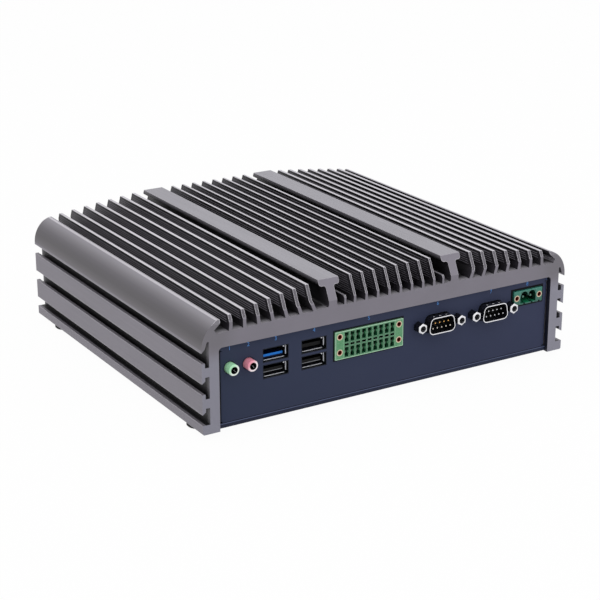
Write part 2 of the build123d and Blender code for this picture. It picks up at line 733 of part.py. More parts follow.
# Rubber feet under the two side walls
FOOT_X = SIDE_HALF - FOOT_SIDE_INSET
for side, foot_x in (("left", -FOOT_X), ("right", FOOT_X)):
    for end, foot_y in (("front", FRONT_Y + FOOT_END_INSET), ("rear", BACK_Y - FOOT_END_INSET)):
        with BuildPart() as foot:
            with BuildSketch(level(foot_x, foot_y, 0)):
                Circle(FOOT_R)
            extrude(amount=FOOT_H)
            chamfer(foot.edges().group_by(Axis.Z)[0], FOOT_H / 6)
        foot.part.label = f"foot_{end}_{side}"
        export_step(foot.part, f"parts/{foot.part.label}.step")


# Main board and what carries it
BOARD_HALF = OPEN_HALF - BOARD_SIDE_GAP
BOARD_FRONT = PANEL_Y + SHEET_T + BOARD_GAP
BOARD_BACK = REAR_Y - SHEET_T - BOARD_GAP
BOARD_LOW = BOARD_TOP - BOARD_T

with BuildPart() as mainboard:
    with BuildSketch(level(0, (BOARD_FRONT + BOARD_BACK) / 2, BOARD_LOW)):
        Rectangle(2 * BOARD_HALF, BOARD_BACK - BOARD_FRONT)
    extrude(amount=BOARD_T)
    with BuildSketch(level(0, MID_Y, BOARD_LOW)):
        with GridLocations(2 * STANDOFF_X, STANDOFF_Y, 2, 3):
            Circle(BOARD_HOLE_R)
        with GridLocations(2 * PILLAR_X, 2 * PILLAR_Y, 2, 2):
            Circle(PILLAR_AF / 2 + PILLAR_PASS_GAP)
    extrude(amount=BOARD_T, mode=Mode.SUBTRACT)
mainboard.part.label = "mainboard"
export_step(mainboard.part, "parts/mainboard.step")

with BuildPart() as board_standoffs:
    with BuildSketch(level(0, MID_Y, TRAY_FLOOR)):
        with GridLocations(2 * STANDOFF_X, STANDOFF_Y, 2, 3):
            RegularPolygon(STANDOFF_AF / 2, 6, major_radius=False)
    extrude(amount=BOARD_LOW - TRAY_FLOOR)
    with BuildSketch(level(0, MID_Y, BOARD_LOW)):
        with GridLocations(2 * STANDOFF_X, STANDOFF_Y, 2, 3):
            Circle(THREAD_R)
    extrude(amount=-BOARD_SCREW_L, mode=Mode.SUBTRACT)
board_standoffs.part.label = "board_standoffs"
export_step(board_standoffs.part, "parts/board_standoffs.step")

with BuildPart() as board_screws:
    with BuildSketch(level(0, MID_Y, BOARD_TOP)):
        with GridLocations(2 * STANDOFF_X, STANDOFF_Y, 2, 3):
            Circle(PAN_HEAD_R)
    extrude(amount=PAN_HEAD_H)
    fillet(board_screws.edges().group_by(Axis.Z)[-1], PAN_HEAD_H / 3)
    with BuildSketch(level(0, MID_Y, BOARD_TOP)):
        with GridLocations(2 * STANDOFF_X, STANDOFF_Y, 2, 3):
            Circle(THREAD_R - THREAD_GAP)
    extrude(amount=-BOARD_SCREW_L)
board_screws.part.label = "board_screws"
export_step(board_screws.part, "parts/board_screws.step")


# Processor, pads and heat block
DIE_TOP = BOARD_TOP + CPU_T + DIE_T
BLOCK_LOW = DIE_TOP + PAD_T
BLOCK_HIGH = DECK_UNDER_Z - PAD_T
BOLT_SPAN_X = BLOCK_L - 2 * BLOCK_BOLT_INSET
BOLT_SPAN_Y = BLOCK_W - 2 * BLOCK_BOLT_INSET

with BuildPart() as processor:
    with BuildSketch(level(0, CPU_Y, BOARD_TOP)):
        Rectangle(CPU_SIZE, CPU_SIZE)
    extrude(amount=CPU_T)
    with BuildSketch(level(0, CPU_Y, BOARD_TOP + CPU_T)):
        Rectangle(DIE_L, DIE_W)
    extrude(amount=DIE_T)
processor.part.label = "processor"
export_step(processor.part, "parts/processor.step")

with BuildPart() as heat_block:
    with BuildSketch(level(0, CPU_Y, BLOCK_LOW)):
        Rectangle(BLOCK_L, BLOCK_W)
    extrude(amount=BLOCK_HIGH - BLOCK_LOW)
    with Locations(Plane(origin=(0, CPU_Y, BLOCK_LOW), z_dir=(0, 0, -1))):
        with GridLocations(BOLT_SPAN_X, BOLT_SPAN_Y, 2, 2):
            CounterBoreHole(BLOCK_BORE_R, BLOCK_SINK_R, BLOCK_SINK_H)
heat_block.part.label = "heat_block"
export_step(heat_block.part, "parts/heat_block.step")

with BuildPart() as block_screws:
    with BuildSketch(level(0, CPU_Y, BLOCK_LOW + BLOCK_SINK_H)):
        with GridLocations(BOLT_SPAN_X, BOLT_SPAN_Y, 2, 2):
            Circle(SCREW_HEAD_R)
    extrude(amount=-BLOCK_HEAD_H)
    with BuildSketch(level(0, CPU_Y, BLOCK_LOW + BLOCK_SINK_H)):
        with GridLocations(BOLT_SPAN_X, BOLT_SPAN_Y, 2, 2):
            Circle(THREAD_R - THREAD_GAP)
    extrude(amount=DECK_UNDER_Z + BLOCK_SCREW_BITE - BLOCK_LOW - BLOCK_SINK_H)
block_screws.part.label = "block_screws"
export_step(block_screws.part, "parts/block_screws.step")

with BuildPart() as thermal_pads:
    with BuildSketch(level(0, CPU_Y, DIE_TOP)):
        Rectangle(DIE_L, DIE_W)
    extrude(amount=PAD_T)
    with BuildSketch(level(0, CPU_Y, BLOCK_HIGH)):
        Rectangle(BLOCK_L, BLOCK_W)
        with GridLocations(BOLT_SPAN_X, BOLT_SPAN_Y, 2, 2):
            Circle(BLOCK_BORE_R, mode=Mode.SUBTRACT)
    extrude(amount=PAD_T)
thermal_pads.part.label = "thermal_pads"
export_step(thermal_pads.part, "parts/thermal_pads.step")


# Memory module in its socket
MODULE_LOW = BOARD_TOP + MEMORY_LIFT
SOCKET_EDGE = MEMORY_X + MEMORY_SOCKET_W / 2
MODULE_X = SOCKET_EDGE - MEMORY_BITE + MEMORY_W / 2

with BuildPart() as memory_socket:
    with BuildSketch(level(MEMORY_X, MEMORY_Y, BOARD_TOP)):
        Rectangle(MEMORY_SOCKET_W, MEMORY_SOCKET_L)
    extrude(amount=MEMORY_SOCKET_H)
    with BuildSketch(level(SOCKET_EDGE, MEMORY_Y, BOARD_TOP)):
        arm_l = MEMORY_W - MEMORY_BITE
        arm_pitch = MEMORY_SOCKET_L - MEMORY_ARM_W
        with Locations((arm_l / 2, 0)):
            with GridLocations(1, arm_pitch, 1, 2):
                Rectangle(arm_l, MEMORY_ARM_W)
    extrude(amount=MEMORY_SOCKET_H)
    with BuildSketch(level(SOCKET_EDGE, MEMORY_Y, MODULE_LOW)):
        Rectangle(MEMORY_BITE, MEMORY_L, align=(Align.MAX, Align.CENTER))
    extrude(amount=MEMORY_T, mode=Mode.SUBTRACT)
memory_socket.part.label = "memory_socket"
export_step(memory_socket.part, "parts/memory_socket.step")

with BuildPart() as memory_module:
    with BuildSketch(level(MODULE_X, MEMORY_Y, MODULE_LOW)):
        Rectangle(MEMORY_W, MEMORY_L)
    extrude(amount=MEMORY_T)
    with BuildSketch(level(MODULE_X + MEMORY_BITE, MEMORY_Y, MODULE_LOW + MEMORY_T)):
        with GridLocations(MEMORY_CHIP_STEP, MEMORY_CHIP_PITCH, 2, int(MEMORY_L / MEMORY_CHIP_PITCH)):
            Rectangle(MEMORY_CHIP_W, MEMORY_CHIP_L)
    extrude(amount=CHIP_H)
memory_module.part.label = "memory_module"
export_step(memory_module.part, "parts/memory_module.step")


# Storage card in its socket, with the post and screw at its far end
CELL_Y = REAR_Y - NETWORK_L - CELL_BACK_GAP - CELL_WALL - CELL_R
CARD_LOW = BOARD_TOP + CARD_LIFT
CARD_BACK = CELL_Y - CELL_R - CELL_WALL - CARD_POST_GAP - POST_R
CARD_Y = CARD_BACK - CARD_L / 2
SOCKET_BACK = CARD_BACK - CARD_L + CARD_BITE

with BuildPart() as storage_socket:
    with BuildSketch(level(CARD_X, SOCKET_BACK, BOARD_TOP)):
        Rectangle(CARD_SOCKET_W, CARD_SOCKET_L, align=(Align.CENTER, Align.MAX))
    extrude(amount=CARD_SOCKET_H)
    with BuildSketch(level(CARD_X, SOCKET_BACK, CARD_LOW)):
        Rectangle(CARD_W, CARD_BITE, align=(Align.CENTER, Align.MAX))
    extrude(amount=CARD_T, mode=Mode.SUBTRACT)
storage_socket.part.label = "storage_socket"
export_step(storage_socket.part, "parts/storage_socket.step")

with BuildPart() as storage_card:
    with BuildSketch(level(CARD_X, CARD_Y, CARD_LOW)):
        Rectangle(CARD_W, CARD_L)
        with Locations((0, CARD_L / 2)):
            Circle(POST_NOTCH_R, mode=Mode.SUBTRACT)
    extrude(amount=CARD_T)
    with BuildSketch(level(CARD_X, CARD_Y, CARD_LOW + CARD_T)):
        with GridLocations(1, CARD_CHIP_PITCH, 1, 3):
            Rectangle(CARD_CHIP_W, CARD_CHIP_L)
    extrude(amount=CHIP_H)
storage_card.part.label = "storage_card"
export_step(storage_card.part, "parts/storage_card.step")

with BuildPart() as storage_post:
    with BuildSketch(level(CARD_X, CARD_BACK, BOARD_TOP)):
        Circle(POST_R)
    extrude(amount=CARD_LIFT)
    with BuildSketch(level(CARD_X, CARD_BACK, CARD_LOW)):
        Circle(POST_NOTCH_R - THREAD_GAP)
    extrude(amount=CARD_T)
    with BuildSketch(level(CARD_X, CARD_BACK, CARD_LOW + CARD_T)):
        Circle(PAN_HEAD_R)
    extrude(amount=PAN_HEAD_H)
    fillet(storage_post.edges().group_by(Axis.Z)[-1], PAN_HEAD_H / 3)
storage_post.part.label = "storage_post"
export_step(storage_post.part, "parts/storage_post.step")


# Coin cell in its holder
with BuildPart() as cell_holder:
    with BuildSketch(level(CELL_X, CELL_Y, BOARD_TOP)):
        Circle(CELL_R + CELL_WALL)
    extrude(amount=CELL_FLOOR + CELL_T)
    with BuildSketch(level(CELL_X, CELL_Y, BOARD_TOP + CELL_FLOOR)):
        Circle(CELL_R + THREAD_GAP)
        with Locations((CELL_R, 0)):
            Rectangle(CELL_R, CELL_R)
    extrude(amount=CELL_T, mode=Mode.SUBTRACT)
cell_holder.part.label = "cell_holder"
export_step(cell_holder.part, "parts/cell_holder.step")

with BuildPart() as coin_cell:
    with BuildSketch(level(CELL_X, CELL_Y, BOARD_TOP + CELL_FLOOR)):
        Circle(CELL_R)
    extrude(amount=CELL_T)
    chamfer(coin_cell.edges().group_by(Axis.Z)[-1], CELL_T / 8)
coin_cell.part.label = "coin_cell"
export_step(coin_cell.part, "parts/coin_cell.step")


# Chokes and capacitors of the power stage
with BuildPart() as chokes:
    with BuildSketch(level(0, CHOKE_Y, BOARD_TOP)):
        with GridLocations(CHOKE_PITCH, 1, CHOKE_COUNT, 1):
            RectangleRounded(CHOKE_SIZE, CHOKE_SIZE, CHOKE_R)
    extrude(amount=CHOKE_H)
chokes.part.label = "chokes"
export_step(chokes.part, "parts/chokes.step")

with BuildPart() as capacitors:
    with BuildSketch(level(0, CAP_Y, BOARD_TOP)):
        with GridLocations(CAP_PITCH, 1, CAP_COUNT, 1):
            Circle(CAP_R)
    extrude(amount=CAP_H)
    fillet(capacitors.edges().group_by(Axis.Z)[-1], CAP_RIM)
capacitors.part.label = "capacitors"
export_step(capacitors.part, "parts/capacitors.step")


# Audio jacks: the body stands on the board and its barrel passes through the panel
INNER_Y = SHEET_T + THREAD_GAP
for audio_name, audio_x in zip(AUDIO_NAMES, AUDIO_X):
    with BuildPart() as audio_jack:
        with BuildSketch(front(audio_x, BOARD_TOP, -INNER_Y)):
            body_h = AUDIO_Z + AUDIO_BODY_RISE - BOARD_TOP
            Rectangle(AUDIO_BODY_W, body_h, align=(Align.CENTER, Align.MIN))
        extrude(amount=-AUDIO_BODY_L)
        with BuildSketch(front(audio_x, AUDIO_Z, -INNER_Y)):
            Circle(AUDIO_R)
        extrude(amount=AUDIO_REACH + INNER_Y)
        chamfer(audio_jack.edges().group_by(Axis.Y)[0], AUDIO_EDGE_R)
        with BuildSketch(front(audio_x, AUDIO_Z, AUDIO_REACH)):
            Circle(AUDIO_BORE_R)
        extrude(amount=-AUDIO_BORE_L, mode=Mode.SUBTRACT)
    audio_jack.part.label = audio_name
    export_step(audio_jack.part, f"parts/{audio_name}.step")


# Stacked ports: a folded shell with two mouths, and a moulded core with two tongues
PORT_TOP_Z = PORT_LOW_Z + PORT_PITCH + PORT_H / 2 + PORT_SHEET
PORT_MID_Z = PORT_LOW_Z + PORT_PITCH / 2
PORT_WEB_H = PORT_PITCH - PORT_H - 2 * PORT_SHEET
PORT_FRONT_Y = -SHEET_T - PORT_BACK
UPPER_DROPS = (FAST_TONGUE_DROP, TONGUE_DROP)
for port_name, port_x, upper_drop in zip(PORT_NAMES, PORT_X, UPPER_DROPS):
    with BuildPart() as port_shell:
        with BuildSketch(front(port_x, BOARD_TOP, PORT_FRONT_Y)):
            Rectangle(PORT_W + 2 * PORT_SHEET, PORT_TOP_Z - BOARD_TOP, align=(Align.CENTER, Align.MIN))
        extrude(amount=-PORT_L)
        with BuildSketch(front(port_x, PORT_LOW_Z, PORT_FRONT_Y)):
            with Locations((0, 0), (0, PORT_PITCH)):
                Rectangle(PORT_W, PORT_H)
        extrude(amount=-PORT_L, mode=Mode.SUBTRACT)
        with BuildSketch(front(port_x, PORT_MID_Z, PORT_FRONT_Y - PORT_SHEET)):
            Rectangle(PORT_W, PORT_WEB_H)
        extrude(amount=-PORT_L, mode=Mode.SUBTRACT)
        with BuildSketch(front(port_x, PORT_MID_Z, PORT_FRONT_Y - PORT_MOUTH_L)):
            Rectangle(PORT_W, PORT_PITCH + PORT_H)
        extrude(amount=-PORT_L, mode=Mode.SUBTRACT)
        with BuildSketch(front(port_x, PORT_LOW_Z + PORT_H / 2, PORT_FRONT_Y - PORT_SHEET)):
            with Locations((0, 0), (0, PORT_PITCH)):
                with GridLocations(2 * SPRING_X, 1, 2, 1):
                    Rectangle(SPRING_W, SPRING_H, align=(Align.CENTER, Align.MAX))
        extrude(amount=-SPRING_L)
    port_shell.part.label = f"port_shell_{port_name}"
    export_step(port_shell.part, f"parts/{port_shell.part.label}.step")

    with BuildPart() as port_core:
        with BuildSketch(front(port_x, PORT_MID_Z, PORT_FRONT_Y - PORT_MOUTH_L)):
            Rectangle(PORT_W, PORT_PITCH + PORT_H)
        extrude(amount=PORT_MOUTH_L - PORT_L)
        with BuildSketch(front(port_x, PORT_MID_Z, PORT_FRONT_Y - PORT_MOUTH_L)):
            Rectangle(PORT_W, PORT_WEB_H)
        extrude(amount=PORT_MOUTH_L - PORT_SHEET)
        with BuildSketch(front(port_x, PORT_LOW_Z, PORT_FRONT_Y - PORT_MOUTH_L)):
            with Locations((0, -TONGUE_DROP), (0, PORT_PITCH - upper_drop)):
                Rectangle(TONGUE_W, TONGUE_T)
        extrude(amount=TONGUE_L)
    port_core.part.label = f"port_core_{port_name}"
    export_step(port_core.part, f"parts/{port_core.part.label}.step")


# Signal header: moulded core with two rows of cells, flanged ends and pins
SIGNAL_LOW = SIGNAL_Z - SIGNAL_H / 2
SIGNAL_ROW_PITCH = 2 * SIGNAL_CELL_RISE
SIGNAL_NUT_STEP = (2 * SIGNAL_NUT_X, 2 * SIGNAL_NUT_Z)

with BuildPart() as signal_header:
    with BuildSketch(front(SIGNAL_X, SIGNAL_Z, HEADER_REACH)):
        Rectangle(SIGNAL_CORE_W, SIGNAL_H)
    extrude(amount=-SIGNAL_L)
    with BuildSketch(front(SIGNAL_X, SIGNAL_Z, HEADER_REACH)):
        with GridLocations(SIGNAL_PITCH, SIGNAL_ROW_PITCH, SIGNAL_COUNT, ROW_COUNT):
            Rectangle(SIGNAL_CELL_W, SIGNAL_CELL_H)
        with GridLocations(SIGNAL_PITCH, 1, SIGNAL_COUNT, 1):
            Rectangle(SIGNAL_CELL_W, SIGNAL_SLOT_H)
    extrude(amount=-SIGNAL_CELL_L, mode=Mode.SUBTRACT)
    with BuildSketch(front(SIGNAL_X, SIGNAL_Z, HEADER_REACH - SIGNAL_CELL_L)):
        with GridLocations(SIGNAL_PITCH, SIGNAL_ROW_PITCH, SIGNAL_COUNT, ROW_COUNT):
            Rectangle(PIN_W, PIN_W)
    extrude(amount=SIGNAL_CELL_L - SIGNAL_L, mode=Mode.SUBTRACT)
signal_header.part.label = "signal_header"
export_step(signal_header.part, "parts/signal_header.step")

with BuildPart() as signal_header_ends:
    end_x = (SIGNAL_CORE_W + SIGNAL_END_W) / 2
    with BuildSketch(front(SIGNAL_X, SIGNAL_Z, HEADER_REACH)):
        with GridLocations(2 * end_x, 1, 2, 1):
            Rectangle(SIGNAL_END_W, SIGNAL_H)
    extrude(amount=-SIGNAL_L)
    with BuildSketch(front(SIGNAL_X, SIGNAL_LOW, HEADER_REACH - SIGNAL_L)):
        with GridLocations(SIGNAL_W - SIGNAL_FOOT_W, 1, 2, 1):
            Rectangle(SIGNAL_FOOT_W, SIGNAL_LOW - BOARD_TOP, align=(Align.CENTER, Align.MAX))
    extrude(amount=SIGNAL_L - HEADER_REACH - SHEET_T - HOLE_GAP)
    with BuildSketch(front(SIGNAL_X, SIGNAL_Z + SIGNAL_NUT_LIFT, HEADER_REACH)):
        with GridLocations(*SIGNAL_NUT_STEP, 2, 2):
            Circle(NUT_R)
    extrude(amount=-NUT_L, mode=Mode.SUBTRACT)
signal_header_ends.part.label = "signal_header_ends"
export_step(signal_header_ends.part, "parts/signal_header_ends.step")

with BuildPart() as signal_pins:
    with BuildSketch(front(SIGNAL_X, SIGNAL_Z, HEADER_REACH - SIGNAL_L - PIN_TAIL)):
        with GridLocations(SIGNAL_PITCH, SIGNAL_ROW_PITCH, SIGNAL_COUNT, ROW_COUNT):
            Rectangle(PIN_W, PIN_W)
    extrude(amount=SIGNAL_L + PIN_TAIL - HEADER_REACH)
    for row, rise in enumerate((-SIGNAL_CELL_RISE, SIGNAL_CELL_RISE)):
        tail_out = HEADER_REACH - SIGNAL_L - PIN_TAIL - row * 2 * PIN_W
        with BuildSketch(front(SIGNAL_X, SIGNAL_Z + rise + PIN_W / 2, tail_out)):
            with GridLocations(SIGNAL_PITCH, 1, SIGNAL_COUNT, 1):
                leg = SIGNAL_Z + rise + PIN_W / 2 - BOARD_TOP
                Rectangle(PIN_W, leg, align=(Align.CENTER, Align.MAX))
        extrude(amount=PIN_W)
        if row:
            with BuildSketch(front(SIGNAL_X, SIGNAL_Z + rise, tail_out)):
                with GridLocations(SIGNAL_PITCH, 1, SIGNAL_COUNT, 1):
                    Rectangle(PIN_W, PIN_W)
            extrude(amount=2 * PIN_W)
signal_pins.part.label = "signal_pins"
export_step(signal_pins.part, "parts/signal_pins.step")


# Serial ports: drawn shell on a flange behind the panel, moulded body and nine pins
FLANGE_OUT = -SHEET_T
BODY_OUT = FLANGE_OUT - SERIAL_FLANGE_T


def nine_pin_circles():
    """Circles of the pins, four in the upper row and five in the lower."""
    for rise, count in ((SERIAL_ROW_PITCH / 2, 4), (-SERIAL_ROW_PITCH / 2, 5)):
        with Locations((0, rise)):
            with GridLocations(SERIAL_PIN_PITCH, 1, count, 1):
                Circle(SERIAL_PIN_R)


for number, serial_x in enumerate(SERIAL_X, start=1):
    with BuildPart() as serial_shell:
        with BuildSketch(front(serial_x, SERIAL_Z, BODY_OUT)):
            RectangleRounded(SERIAL_FLANGE_W, SERIAL_FLANGE_H, SERIAL_FLANGE_R)
        extrude(amount=SERIAL_FLANGE_T)
        with BuildSketch(front(serial_x, SERIAL_Z, FLANGE_OUT)) as skirt:
            d_outline(0)
            fillet(skirt.vertices(), SERIAL_R)
        extrude(amount=SHELL_REACH - FLANGE_OUT)
        with BuildSketch(front(serial_x, SERIAL_Z, BODY_OUT)) as bore:
            d_outline(-SERIAL_SHEET)
            fillet(bore.vertices(), SERIAL_R - SERIAL_SHEET)
        extrude(amount=SHELL_REACH - BODY_OUT, mode=Mode.SUBTRACT)
        with BuildSketch(front(serial_x, SERIAL_Z, BODY_OUT)):
            with GridLocations(JACK_SPACING, 1, 2, 1):
                Circle(JACK_SHANK_R + THREAD_GAP)
        extrude(amount=SERIAL_FLANGE_T, mode=Mode.SUBTRACT)
        dimple_y = PANEL_Y - SHELL_REACH / 2
        with BuildSketch(level(serial_x, dimple_y, SERIAL_Z + SERIAL_H / 2)):
            with GridLocations(DIMPLE_PITCH, 1, 3, 1):
                Circle(DIMPLE_R)
        extrude(amount=-DIMPLE_DEPTH, mode=Mode.SUBTRACT)
    serial_shell.part.label = f"serial_shell_{number}"
    export_step(serial_shell.part, f"parts/{serial_shell.part.label}.step")

    with BuildPart() as serial_body:
        with BuildSketch(front(serial_x, SERIAL_Z, BODY_OUT)) as plug:
            d_outline(-SERIAL_SHEET - THREAD_GAP)
            fillet(plug.vertices(), SERIAL_R - SERIAL_SHEET - THREAD_GAP)
        extrude(amount=SERIAL_FLANGE_T)
        with BuildSketch(front(serial_x, BOARD_TOP, BODY_OUT)):
            back_h = SERIAL_Z + SERIAL_H / 2 - BOARD_TOP
            Rectangle(SERIAL_BODY_W, back_h, align=(Align.CENTER, Align.MIN))
        extrude(amount=-SERIAL_BODY_L)
        with BuildSketch(front(serial_x, SERIAL_Z, FLANGE_OUT)):
            nine_pin_circles()
        extrude(amount=-SERIAL_FLANGE_T - SERIAL_BODY_L / 2, mode=Mode.SUBTRACT)
    serial_body.part.label = f"serial_body_{number}"
    export_step(serial_body.part, f"parts/{serial_body.part.label}.step")

with BuildPart() as serial_pins:
    for serial_x in SERIAL_X:
        with BuildSketch(front(serial_x, SERIAL_Z, SHELL_REACH - SERIAL_PIN_SHY)):
            nine_pin_circles()
        extrude(amount=-(SHELL_REACH - SERIAL_PIN_SHY - BODY_OUT + SERIAL_BODY_L / 2))
    fillet(serial_pins.edges().group_by(Axis.Y)[0], SERIAL_PIN_R / 2)
serial_pins.part.label = "serial_pins"
export_step(serial_pins.part, "parts/serial_pins.step")

# Jackscrews beside the serial ports, with a tapped bore in each hexagonal head
with BuildPart() as jackscrews:
    for serial_x in SERIAL_X:
        with BuildSketch(front(serial_x, SERIAL_Z)):
            with GridLocations(JACK_SPACING, 1, 2, 1):
                RegularPolygon(JACK_AF / 2, 6, major_radius=False, rotation=30)
        extrude(amount=SCREW_REACH)
    chamfer(jackscrews.edges().group_by(Axis.Y)[0], JACK_EDGE)
    for serial_x in SERIAL_X:
        with BuildSketch(front(serial_x, SERIAL_Z)):
            with GridLocations(JACK_SPACING, 1, 2, 1):
                Circle(JACK_SHANK_R)
        extrude(amount=-JACK_SHANK_L)
        with BuildSketch(front(serial_x, SERIAL_Z, SCREW_REACH)):
            with GridLocations(JACK_SPACING, 1, 2, 1):
                Circle(JACK_BORE_R)
        extrude(amount=-JACK_BORE_L, mode=Mode.SUBTRACT)
jackscrews.part.label = "jackscrews"
export_step(jackscrews.part, "parts/jackscrews.step")


# Power header on its own small board
DC_LOW = DC_Z - DC_H / 2
DC_BOARD_LOW = DC_LOW - BOARD_T
DC_BOARD_FRONT = BOARD_FRONT + SERIAL_FLANGE_T
DC_BOARD_MID = DC_BOARD_FRONT + DC_BOARD_L / 2

with BuildPart() as power_header:
    with BuildSketch(front(DC_X, DC_Z, DC_REACH)):
        Rectangle(DC_CORE_W, DC_H)
    extrude(amount=-DC_L)
    cavity_low = DC_WALL - DC_H / 2
    scallop_z = DC_H / 2 - DC_WALL - DC_SCALLOP_R
    with BuildSketch(front(DC_X, DC_Z, DC_REACH)):
        with Locations((0, cavity_low)):
            Rectangle(DC_CAVITY_W, scallop_z - cavity_low, align=(Align.CENTER, Align.MIN))
        with Locations((-DC_PITCH / 2, scallop_z), (DC_PITCH / 2, scallop_z)):
            Circle(DC_SCALLOP_R)
    extrude(amount=-DC_CAVITY_L, mode=Mode.SUBTRACT)
    with BuildSketch(front(DC_X, DC_LOW, DC_REACH)):
        with GridLocations(DC_PITCH, 1, 2, 1):
            Rectangle(DC_NOTCH_W, 2 * DC_WALL)
    extrude(amount=-DC_NOTCH_L, mode=Mode.SUBTRACT)
    with BuildSketch(front(DC_X, DC_Z, DC_REACH - DC_CAVITY_L)):
        with GridLocations(DC_PITCH, 1, 2, 1):
            Rectangle(PIN_W, PIN_W)
    extrude(amount=DC_CAVITY_L - DC_L, mode=Mode.SUBTRACT)
power_header.part.label = "power_header"
export_step(power_header.part, "parts/power_header.step")

with BuildPart() as power_header_ends:
    with BuildSketch(front(DC_X, DC_Z, DC_REACH)):
        with GridLocations(DC_CORE_W + DC_END_W, 1, 2, 1):
            Rectangle(DC_END_W, DC_H)
    extrude(amount=-DC_L)
    with BuildSketch(front(DC_X, DC_LOW, DC_REACH)):
        with GridLocations(2 * DC_NUT_X, 1, 2, 1):
            Rectangle(DC_NOTCH_W, 2 * DC_WALL)
    extrude(amount=-DC_NOTCH_L, mode=Mode.SUBTRACT)
    with BuildSketch(front(DC_X, DC_Z, DC_REACH)):
        with GridLocations(2 * DC_NUT_X, 1, 2, 1):
            Circle(NUT_R)
    extrude(amount=-NUT_L, mode=Mode.SUBTRACT)
power_header_ends.part.label = "power_header_ends"
export_step(power_header_ends.part, "parts/power_header_ends.step")

with BuildPart() as power_pins:
    with BuildSketch(front(DC_X, DC_Z, DC_REACH - DC_L - PIN_TAIL)):
        with GridLocations(DC_PITCH, 1, 2, 1):
            Rectangle(PIN_W, PIN_W)
    extrude(amount=DC_L + PIN_TAIL - DC_REACH)
    with BuildSketch(front(DC_X, DC_Z + PIN_W / 2, DC_REACH - DC_L - PIN_TAIL)):
        with GridLocations(DC_PITCH, 1, 2, 1):
            Rectangle(PIN_W, DC_Z + PIN_W / 2 - DC_LOW, align=(Align.CENTER, Align.MAX))
    extrude(amount=PIN_W)
power_pins.part.label = "power_pins"
export_step(power_pins.part, "parts/power_pins.step")

# Threaded metal inserts of both headers
with BuildPart() as flange_nuts:
    with BuildSketch(front(SIGNAL_X, SIGNAL_Z + SIGNAL_NUT_LIFT, HEADER_REACH)):
        with GridLocations(*SIGNAL_NUT_STEP, 2, 2):
            Circle(NUT_R)
            Circle(NUT_BORE_R, mode=Mode.SUBTRACT)
    extrude(amount=-NUT_L)
    with BuildSketch(front(DC_X, DC_Z, DC_REACH)):
        with GridLocations(2 * DC_NUT_X, 1, 2, 1):
            Circle(NUT_R)
            Circle(NUT_BORE_R, mode=Mode.SUBTRACT)
    extrude(amount=-NUT_L)
flange_nuts.part.label = "flange_nuts"
export_step(flange_nuts.part, "parts/flange_nuts.step")

with BuildPart() as power_board:
    with BuildSketch(level(DC_X, DC_BOARD_MID, DC_BOARD_LOW)):
        Rectangle(DC_BOARD_W, DC_BOARD_L)
    extrude(amount=BOARD_T)
power_board.part.label = "power_board"
export_step(power_board.part, "parts/power_board.step")

with BuildPart() as power_spacers:
    with BuildSketch(level(DC_X, DC_BOARD_MID, BOARD_TOP)):
        with GridLocations(2 * DC_SPACER_X, 2 * DC_SPACER_Y, 2, 2):
            Circle(DC_SPACER_R)
    extrude(amount=DC_BOARD_LOW - BOARD_TOP)
power_spacers.part.label = "power_spacers"
export_step(power_spacers.part, "parts/power_spacers.step")


# Network jacks in the rear panel: shield and moulded insert with the plug's way in
INSERT_W = NETWORK_W - 2 * NETWORK_SHEET
INSERT_H = NETWORK_H - 2 * NETWORK_SHEET
for number, network_x in enumerate(NETWORK_X, start=1):
    with BuildPart() as network_shield:
        with BuildSketch(rear(network_x, NETWORK_Z)):
            Rectangle(NETWORK_W, NETWORK_H)
        extrude(amount=-NETWORK_L)
        with BuildSketch(rear(network_x, NETWORK_Z)):
            Rectangle(INSERT_W, INSERT_H)
        extrude(amount=NETWORK_SHEET - NETWORK_L, mode=Mode.SUBTRACT)
    network_shield.part.label = f"network_shield_{number}"
    export_step(network_shield.part, f"parts/{network_shield.part.label}.step")

    with BuildPart() as network_insert:
        with BuildSketch(rear(network_x, NETWORK_Z)):
            Rectangle(INSERT_W, INSERT_H)
        extrude(amount=NETWORK_SHEET - NETWORK_L)
        with BuildSketch(rear(network_x, NETWORK_Z)):
            Rectangle(NETWORK_PLUG_W, NETWORK_PLUG_H)
            with Locations((0, -NETWORK_PLUG_H / 2)):
                Rectangle(NETWORK_LATCH_W, NETWORK_LATCH_H, align=(Align.CENTER, Align.MAX))
        extrude(amount=-NETWORK_PLUG_L, mode=Mode.SUBTRACT)
    network_insert.part.label = f"network_insert_{number}"
    export_step(network_insert.part, f"parts/{network_insert.part.label}.step")


